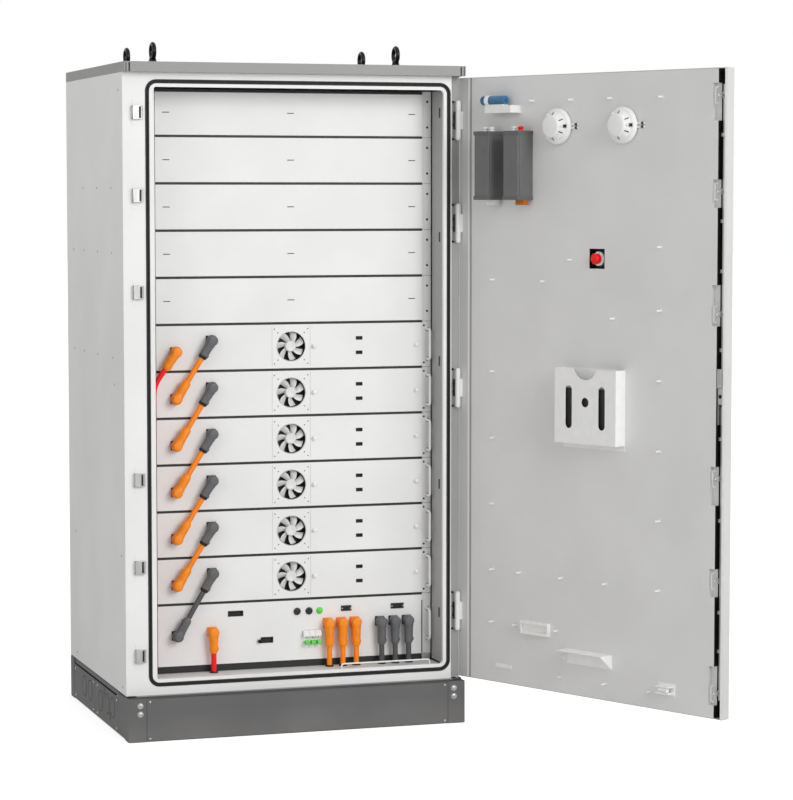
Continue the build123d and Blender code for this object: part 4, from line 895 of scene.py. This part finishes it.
detectors, cores, tabs = Shape(), Shape(), Shape()
detector_radius = 53 * MM
detector_places = ((113 * MM, 1813 * MM), (-141 * MM, 1812 * MM))
for x, z in detector_places:
    detectors.turned((x, inner, z), IN,
            [(2 * MM, 44 * MM), (3 * MM, 51 * MM), (6 * MM, detector_radius),
            (13 * MM, detector_radius),
            (17 * MM, 50 * MM), (20 * MM, 44 * MM), (21 * MM, 34 * MM), (21 * MM, 0)], 56)
    detectors.turned((x, inner, z), IN,
            mm([(33, 0), (33, 30), (35, 33), (38, 33.5), (41, 30.5), (42, 26), (42, 0)]), 48)
    detectors.turned((x, inner, z), IN, mm([(20, 42), (22, 42), (33, 31), (33, 0)]), 48)
    for step in range(6):
        angle = math.radians(60 * step + 30)
        spoke = Vector((math.cos(angle), 0, math.sin(angle)))
        start = Vector((x, inner + 23.5 * MM, z)) + spoke * 40.5 * MM
        cores.tube([start, Vector((x, inner + 32.5 * MM, z)) + spoke * 31.5 * MM], 1.5 * MM, 8)
    cores.box((x - 46 * MM, inner + 18 * MM, z - 4.5 * MM), (x - 38 * MM, inner + 27 * MM, z + 4.5 * MM))
    for step in range(3):
        angle = math.radians(180 + 120 * step)
        fin = Shape()
        fin.box((10 * MM, -2.2 * MM, 20 * MM), (40 * MM, 2.2 * MM, 34 * MM))
        detectors.add(fin, Matrix.Translation((x, inner, z)) @ Matrix.Rotation(angle, 4, "Y")
                      @ Matrix.Rotation(-math.pi / 2, 4, "X"))
    cores.turned((x, inner, z), IN, mm([(20, 17), (33.5, 17)]), 32)
    for offset in (-5 * MM, 5 * MM):
        detectors.box((x - 75 * MM, inner, z + offset - 2.6 * MM),
                      (x - 44 * MM, inner + 4 * MM, z + offset + 2.6 * MM))
        tabs.turned((x - 70 * MM, inner + 3.4 * MM, z + offset), IN,
                    mm([(-2, 4), (3, 4), (4, 3), (4, 0)]), 20)
detectors.done("detector_housings", white_plastic, "door", ("smoke_detectors",), bevel=0.6 * MM)
cores.done("detector_chambers", black_plastic, "door")
tabs.done("detector_tab_caps", black_plastic, "door")

unit_top = 1802 * MM
unit_bottom = 1598 * MM
unit_depth = 64 * MM
unit_half = 31 * MM
units, caps, white_knobs, red_plug, copper_block = Shape(), Shape(), Shape(), Shape(), Shape()
for number, x in enumerate((368 * MM, 249 * MM)):
    units.box((x - unit_half + 2 * MM, inner, unit_bottom + 9 * MM),
              (x + unit_half - 2 * MM, inner + unit_depth, unit_top - 10 * MM))
    for side in (-1, 1):
        units.box((x + side * (unit_half - 3 * MM), inner, unit_bottom + 9 * MM),
                  (x + side * unit_half, inner + unit_depth - 8 * MM, unit_top - 10 * MM))
    for z1, z2 in ((unit_bottom, unit_bottom + 11 * MM), (unit_top - 12 * MM, unit_top)):
        caps.box((x - unit_half - 1 * MM, inner, z1),
                 (x + unit_half + 1 * MM, inner + unit_depth + 1.5 * MM, z2))
    for spot, offset in enumerate((-13 * MM, 13 * MM)):
        target = red_plug if number == 1 and spot == 0 else white_knobs
        target.turned((x + offset, inner + 34 * MM, unit_top), (0, 0, 1),
                      mm([(0, 8.5), (2, 8.5), (3, 6.5), (5, 6.5), (7, 8.5), (11, 8.8), (13.5, 6), (14, 0)]),
                      24)
    block = copper_block if number == 1 else white_knobs
    block.box((x - 29 * MM, inner + 16 * MM, unit_bottom - 15 * MM),
              (x + 6 * MM, inner + 36 * MM, unit_bottom))
    for offset in (-21 * MM, 0):
        screw(block, (x + offset, inner + 36 * MM, unit_bottom - 7.5 * MM), IN, 3 * MM, 1.2 * MM)
units.done("suppression_bodies", unit_grey, "door", ("suppression_units",), bevel=1.2 * MM)
caps.done("suppression_caps", dark_plastic, "door", bevel=1 * MM)
white_knobs.done("suppression_knobs", white_plastic, "door", bevel=0.4 * MM)
red_plug.done("suppression_plug", red_plastic, "door")
copper_block.done("suppression_terminal", copper, "door", bevel=0.4 * MM)

sensor_low, sensor_high = closed_box("door_sensor")
sensor_y = inner + 24 * MM
sensor_z = sensor_high.z - 15 * MM
sensor = Shape()
sensor.turned((sensor_low.x, sensor_y, sensor_z), (1, 0, 0),
              [(0, 5 * MM), (5 * MM, 5 * MM), (6 * MM, 13 * MM), (9 * MM, 14 * MM), (62 * MM, 14 * MM),
        (63 * MM, 12.6 * MM), (66 * MM, 12.6 * MM), (67 * MM, 14 * MM), (98 * MM, 14 * MM),
        (101 * MM, 12 * MM), (sensor_high.x - sensor_low.x, 8 * MM),
        (sensor_high.x - sensor_low.x, 0)], 36)
sensor.done("sensor_barrel", blue_metal, "door", ("door_sensor",))
clamp = Shape()
clamp.turned((sensor_high.x - 34 * MM, sensor_y, sensor_z), (1, 0, 0),
             mm([(0, 14.4), (0.6, 14.9), (15.4, 14.9), (16, 14.4)]), 36)
clamp.box((sensor_high.x - 34 * MM, inner + 16 * MM, sensor_low.z),
          (sensor_high.x - 18 * MM, inner + 32 * MM, sensor_z))
clamp.box((sensor_low.x + 8 * MM, inner + 14 * MM, sensor_low.z),
          (370 * MM, inner + 34 * MM, sensor_z - 12 * MM))
clamp.done("sensor_clamp", white_plastic, "door", bevel=0.6 * MM)

estop_x, estop_z = -37 * MM, 1428 * MM
window_half = (30 * MM, 29 * MM)
# Painted shade: a black box inside the window stands for the shaded inside of the door
estop_window_shade = Shape()
estop_window_shade.box((estop_x - window_half[0] - 1 * MM, outer + 2.4 * MM, estop_z - window_half[1] - 1 * MM),
           (estop_x + window_half[0] + 1 * MM, outer + 4 * MM, estop_z + window_half[1] + 1 * MM))
for side in (-1, 1):
    estop_window_shade.box((estop_x + side * window_half[0], outer + 3 * MM, estop_z - window_half[1]),
               (estop_x + side * (window_half[0] + 1.4 * MM), inner - 2.2 * MM, estop_z + window_half[1]))
    estop_window_shade.box((estop_x - window_half[0], outer + 3 * MM, estop_z + side * window_half[1]),
               (estop_x + window_half[0], inner - 2.2 * MM, estop_z + side * (window_half[1] + 1.4 * MM)))
estop_window_shade.done("estop_window_painted_shade", black_plastic, "door")
contact = Shape()
contact.turned((estop_x, inner, estop_z), IN,
        mm([(-16, 12), (-4, 12), (-4, 14.5), (10, 14.5), (13, 13), (14, 9), (14, 0)]), 36)
contact.box((estop_x - 7 * MM, inner + 2 * MM, estop_z - 15.5 * MM),
            (estop_x + 7 * MM, inner + 12 * MM, estop_z + 15.5 * MM))
contact.done("estop_contact_block", red_plastic, "door", ("estop_housing",), bevel=1 * MM)
flange = Shape()
flange.turned((estop_x, inner, estop_z), IN,
              mm([(-14, 21), (-7, 21), (-5.5, 19.5), (-5.5, 0)]), 40)
flange.done("estop_flange", white_plastic, "door")
collar = Shape()
collar.turned((estop_x, outer, estop_z), OUT,
              mm([(-16, 6.3), (-16, 10.7), (0, 10.7), (0, 20), (4, 20), (6, 18), (6, 6.3)]), 40)
collar.turned((estop_x, outer + 12 * MM, estop_z), IN, mm([(0, 16), (3.2, 16), (4, 15), (4, 0)]), 40)
collar.done("estop_collar", white_plastic, "door")
mushroom = Shape()
mushroom.turned((estop_x, outer, estop_z), OUT,
        mm([(-6, 5.9), (12, 6), (12, 18.5), (13.5, 20), (20, 20), (24, 17.5), (25.6, 12), (26, 0)]),
        48)
mushroom.done("estop_mushroom", red_plastic, "stop_button", ("estop_button",))

pocket_low, pocket_high = closed_box("document_pocket")
# Painted shade: a dark board inside the pocket stands for the shade within it
pocket_shade = Shape()
pocket_shade.box((pocket_low.x + 6 * MM, pocket_high.y - 16 * MM, pocket_low.z + 20 * MM),
           (pocket_high.x - 6 * MM, pocket_high.y - 14 * MM, pocket_low.z + 178 * MM))
pocket_shade.done("pocket_painted_shade_backing", pocket_shade_finish, "door", bevel=0.5 * MM)

lock_x, lock_z = -496 * MM, 1050 * MM
keeper_x = -484 * MM
keeper_levels = (253, 517, 776, 1328, 1611, 1853)
roller_levels = (209, 529, 818, 1280, 1622, 1890)
notches = [((min(pair) - 34) * MM, (max(pair) + 34) * MM) for pair in zip(keeper_levels, roller_levels)]
# Painted shade: black plates on the wall and floor of the white lock channel stand for its shade; the notch
# linings and brackets keep their own colours
lock_channel_shade, notch_linings, brackets = Shape(), Shape(), Shape()
low_wall = inner - 15 * MM
lock_channel_shade.box((liner_low.x - 0.7 * MM, outer + 3 * MM, skin_low.z + 3 * MM),
            (liner_low.x - 0.1 * MM, low_wall, skin_high.z - 3 * MM))
wall_ends = [skin_low.z + 3 * MM] + [edge for notch in notches for edge in notch] + [skin_high.z - 3 * MM]
for bottom, top in zip(wall_ends[::2], wall_ends[1::2]):
    lock_channel_shade.box((liner_low.x - 0.7 * MM, low_wall, bottom), (liner_low.x - 0.1 * MM, inner - 0.3 * MM, top))
for bottom, top in notches:
    notch_linings.box((liner_low.x + 19.3 * MM, outer + 3 * MM, bottom),
            (liner_low.x + 19.9 * MM, inner - 0.3 * MM, top))
    notch_linings.box((liner_low.x, low_wall - 0.6 * MM, bottom), (liner_low.x + 19.3 * MM, low_wall, top))
    for level in (bottom, top - 0.5 * MM):
        notch_linings.box((liner_low.x, low_wall, level),
                (liner_low.x + 19.3 * MM, inner - 0.3 * MM, level + 0.5 * MM))
lock_channel_shade.box((skin_low.x + 9 * MM, outer + 2.1 * MM, skin_low.z + 3 * MM),
            (liner_low.x - 0.8 * MM, outer + 2.9 * MM, skin_high.z - 3 * MM))
for level in roller_levels:
    for side in (-1, 1):
        brackets.box((liner_low.x, inner - 0.6 * MM, level * MM + side * 24 * MM),
                     (liner_low.x + 11 * MM, inner + 1 * MM, level * MM + side * 21 * MM))
    brackets.box((liner_low.x + 8.5 * MM, inner - 0.6 * MM, (level - 24) * MM),
                 (liner_low.x + 11 * MM, inner + 1 * MM, (level + 24) * MM))
lock_channel_shade.done("lock_channel_painted_shade", black_plastic, "door")
notch_linings.done("lock_notch_linings", liner_white, "door")
brackets.done("lock_roller_brackets", white_plastic, "door", bevel=0.3 * MM)
# Painted highlight: white strips on the skin's edge flanges stand for the light on its raised folds
fold_highlights = Shape()
fold_highlights.box((skin_low.x + 1 * MM, inner, skin_low.z + 2 * MM),
          (skin_low.x + 7.5 * MM, inner + 0.8 * MM, skin_high.z - 2 * MM))
fold_highlights.box((liner_high.x + 9.5 * MM, inner, skin_low.z + 2 * MM),
          (liner_high.x + 15 * MM, inner + 0.8 * MM, skin_high.z - 2 * MM))
# Painted shade: a grey strip in the gap beside the liner stands for the shade in that gap
liner_gap_shade = Shape()
liner_gap_shade.box((liner_high.x + 0.1 * MM, inner - 2.6 * MM, skin_low.z + 3 * MM),
             (liner_high.x + 9 * MM, inner - 2 * MM, skin_high.z - 3 * MM))
liner_gap_shade.done("liner_gap_painted_shade", painted_shade_grey, "door")
fold_highlights.done("door_edge_painted_highlights", white_plastic, "door", bevel=0.3 * MM)
for body, node, levels in (("upper_rod", "lock_rod_upper", (1890, 1622, 1280)),
        ("lower_rod", "lock_rod_lower", (818, 529, 209))):
    rollers = Shape()
    for level in levels:
        rollers.turned((keeper_x, inner - 2 * MM, level * MM), IN,
                mm([(-10, 6.3), (-9, 7), (-3, 7), (-1.6, 6.3), (-1.4, 3), (0.4, 3), (0.8, 0)]), 28)
    rollers.done(f"{node}_rollers", white_plastic, body)
lock_details = Shape()
lock_details.box((lock_x - 9 * MM, inner - 3.9 * MM, lock_z + 24 * MM),
        (lock_x + 10 * MM, inner - 1.6 * MM, lock_z + 76 * MM))
for level in (lock_z + 30 * MM, lock_z + 70 * MM):
    screw(lock_details, (lock_x, inner - 1.6 * MM, level), IN, 4 * MM, 1.4 * MM)
lock_details.done("lock_cover_plate", zinc, "door", bevel=0.4 * MM)

handle = Shape()
handle.turned((lock_x, outer, lock_z), OUT,
              mm([(-16, 6), (6.5, 6), (6.5, 9), (14, 9), (15.5, 7.5), (15.5, 0)]), 32)
stations = ((6, 9, 7.5, 15), (-20, 8, 7.5, 15), (-60, 7.2, 7.5, 14.6), (-110, 7.6, 7.5, 14.4),
            (-140, 7, 8, 14), (-149, 4.5, 9, 13))
ring_count = 20
rings = []
for drop, half, near, far in stations:
    ring = []
    for step in range(ring_count):
        angle = 2 * math.pi * step / ring_count
        across, out = (math.copysign(abs(part) ** 0.6, part) for part in (math.cos(angle), math.sin(angle)))
        depth = (near + far) / 2 + out * (far - near) / 2
        ring.append(handle.mesh.verts.new((lock_x + across * half * MM, outer - depth * MM,
                lock_z + drop * MM)))
    rings.append(ring)
handle.loft(rings)
handle.done("door_lever", black_plastic, "handle", ("door_handle",))
plate_screws = Shape()
escutcheon = Shape()
escutcheon.box((lock_x - 8 * MM, outer - 6.6 * MM, lock_z - 95 * MM),
        (lock_x + 26 * MM, outer - 0.2 * MM, lock_z - 14 * MM))
escutcheon.box((lock_x - 8 * MM, outer - 6.6 * MM, lock_z + 14 * MM),
        (lock_x + 26 * MM, outer - 0.2 * MM, lock_z + 95 * MM))
for level in (-84 * MM, 84 * MM):
    screw(plate_screws, (lock_x + 15 * MM, outer - 6.6 * MM, lock_z + level), OUT, 3.6 * MM, 1.2 * MM)
escutcheon.turned((lock_x + 9 * MM, outer - 5 * MM, lock_z + 52 * MM), OUT,
        mm([(0, 9), (4, 9), (5, 8), (5, 0)]), 28)
escutcheon.done("handle_escutcheon", black_plastic, "door", bevel=1 * MM)
plate_screws.done("escutcheon_screws", zinc, "door")

studs = Shape()
for low, high in islands("door_brackets", door_back):
    size = high - low
    if size.x < 7 * MM and size.z < 7 * MM:
        x, z = (low.x + high.x) / 2, (low.z + high.z) / 2
        studs.turned((x, inner, z), IN,
                     mm([(0, 5), (1.5, 5), (2.5, 3.2), (18, 3.2), (19.5, 2.4), (19.5, 0)]), 18)
studs.done("door_studs", liner_white, "door")

# ---------------------------------------------------------------- stage, light and camera
floor_data = bpy.data.meshes.new("floor")
reach = 60.0
floor_data.from_pydata([(-reach, -reach, 0), (reach, -reach, 0), (reach, reach, 0), (-reach, reach, 0)], [],
        [(0, 1, 2, 3)])
floor = bpy.data.objects.new("floor", floor_data)
floor.location.z = -0.3 * MM
bpy.context.scene.collection.objects.link(floor)
floor_material = bpy.data.materials.new("pale_floor")
floor_material.use_nodes = True
tree = floor_material.node_tree
shader = tree.nodes["Principled BSDF"]
shader.inputs["Base Color"].default_value = (0.8, 0.8, 0.8, 1)
shader.inputs["Roughness"].default_value = 0.9
path = tree.nodes.new("ShaderNodeLightPath")
glow = tree.nodes.new("ShaderNodeEmission")
glow.inputs["Color"].default_value = (1, 1, 1, 1)
glow_share = tree.nodes.new("ShaderNodeMath")
glow_share.operation = "MULTIPLY"
glow_share.inputs[1].default_value = 0.66
tree.links.new(path.outputs["Is Camera Ray"], glow_share.inputs[0])
tree.links.new(glow_share.outputs["Value"], glow.inputs["Strength"])
added = tree.nodes.new("ShaderNodeAddShader")
tree.links.new(shader.outputs["BSDF"], added.inputs[0])
tree.links.new(glow.outputs["Emission"], added.inputs[1])
tree.links.new(added.outputs["Shader"], tree.nodes["Material Output"].inputs["Surface"])
floor_data.materials.append(floor_material)

world = bpy.data.worlds.new("studio")
bpy.context.scene.world = world
world.use_nodes = True
tree = world.node_tree
lit = tree.nodes["Background"]
lit.inputs["Color"].default_value = (1, 1, 1, 1)
lit.inputs["Strength"].default_value = 0.5
seen = tree.nodes.new("ShaderNodeBackground")
seen.inputs["Color"].default_value = (1, 1, 1, 1)
seen.inputs["Strength"].default_value = 1.0
path = tree.nodes.new("ShaderNodeLightPath")
direct = tree.nodes.new("ShaderNodeMath")
direct.operation = "MAXIMUM"
through = tree.nodes.new("ShaderNodeMath")
through.operation = "MAXIMUM"
tree.links.new(path.outputs["Is Camera Ray"], direct.inputs[0])
tree.links.new(path.outputs["Is Glossy Ray"], direct.inputs[1])
tree.links.new(direct.outputs["Value"], through.inputs[0])
tree.links.new(path.outputs["Is Transmission Ray"], through.inputs[1])
mix = tree.nodes.new("ShaderNodeMixShader")
tree.links.new(through.outputs["Value"], mix.inputs["Fac"])
tree.links.new(lit.outputs["Background"], mix.inputs[1])
tree.links.new(seen.outputs["Background"], mix.inputs[2])
tree.links.new(mix.outputs["Shader"], tree.nodes["World Output"].inputs["Surface"])


def soft_light(name, place, target, size, energy):
    """A square area light aimed at a point."""
    data = bpy.data.lights.new(name, "AREA")
    data.shape = "SQUARE"
    data.size = size
    data.energy = energy
    lamp_object = bpy.data.objects.new(name, data)
    lamp_object.location = place
    lamp_object.rotation_euler = (Vector(target) - Vector(place)).to_track_quat("-Z", "Y").to_euler()
    bpy.context.scene.collection.objects.link(lamp_object)


soft_light("key_light", (2.6, -6.6, 3.6), (0, 0, 1.0), 3.5, 235)
soft_light("fill_light", (-5.5, -4.5, 3.2), (0, 0, 1.0), 3.0, 40)

camera_data = bpy.data.cameras.new("camera")
camera_data.sensor_fit = "HORIZONTAL"
camera_data.sensor_width = 36.0
camera_data.lens = 126.89
camera = bpy.data.objects.new("camera", camera_data)
camera.location = (-2.3288, -8.4013, 1.6148)
camera.rotation_euler = (math.radians(90 - 4.21), 0, math.radians(-18.263))
bpy.context.scene.collection.objects.link(camera)
bpy.context.scene.camera = camera
bpy.context.scene.view_settings.view_transform = "Standard"
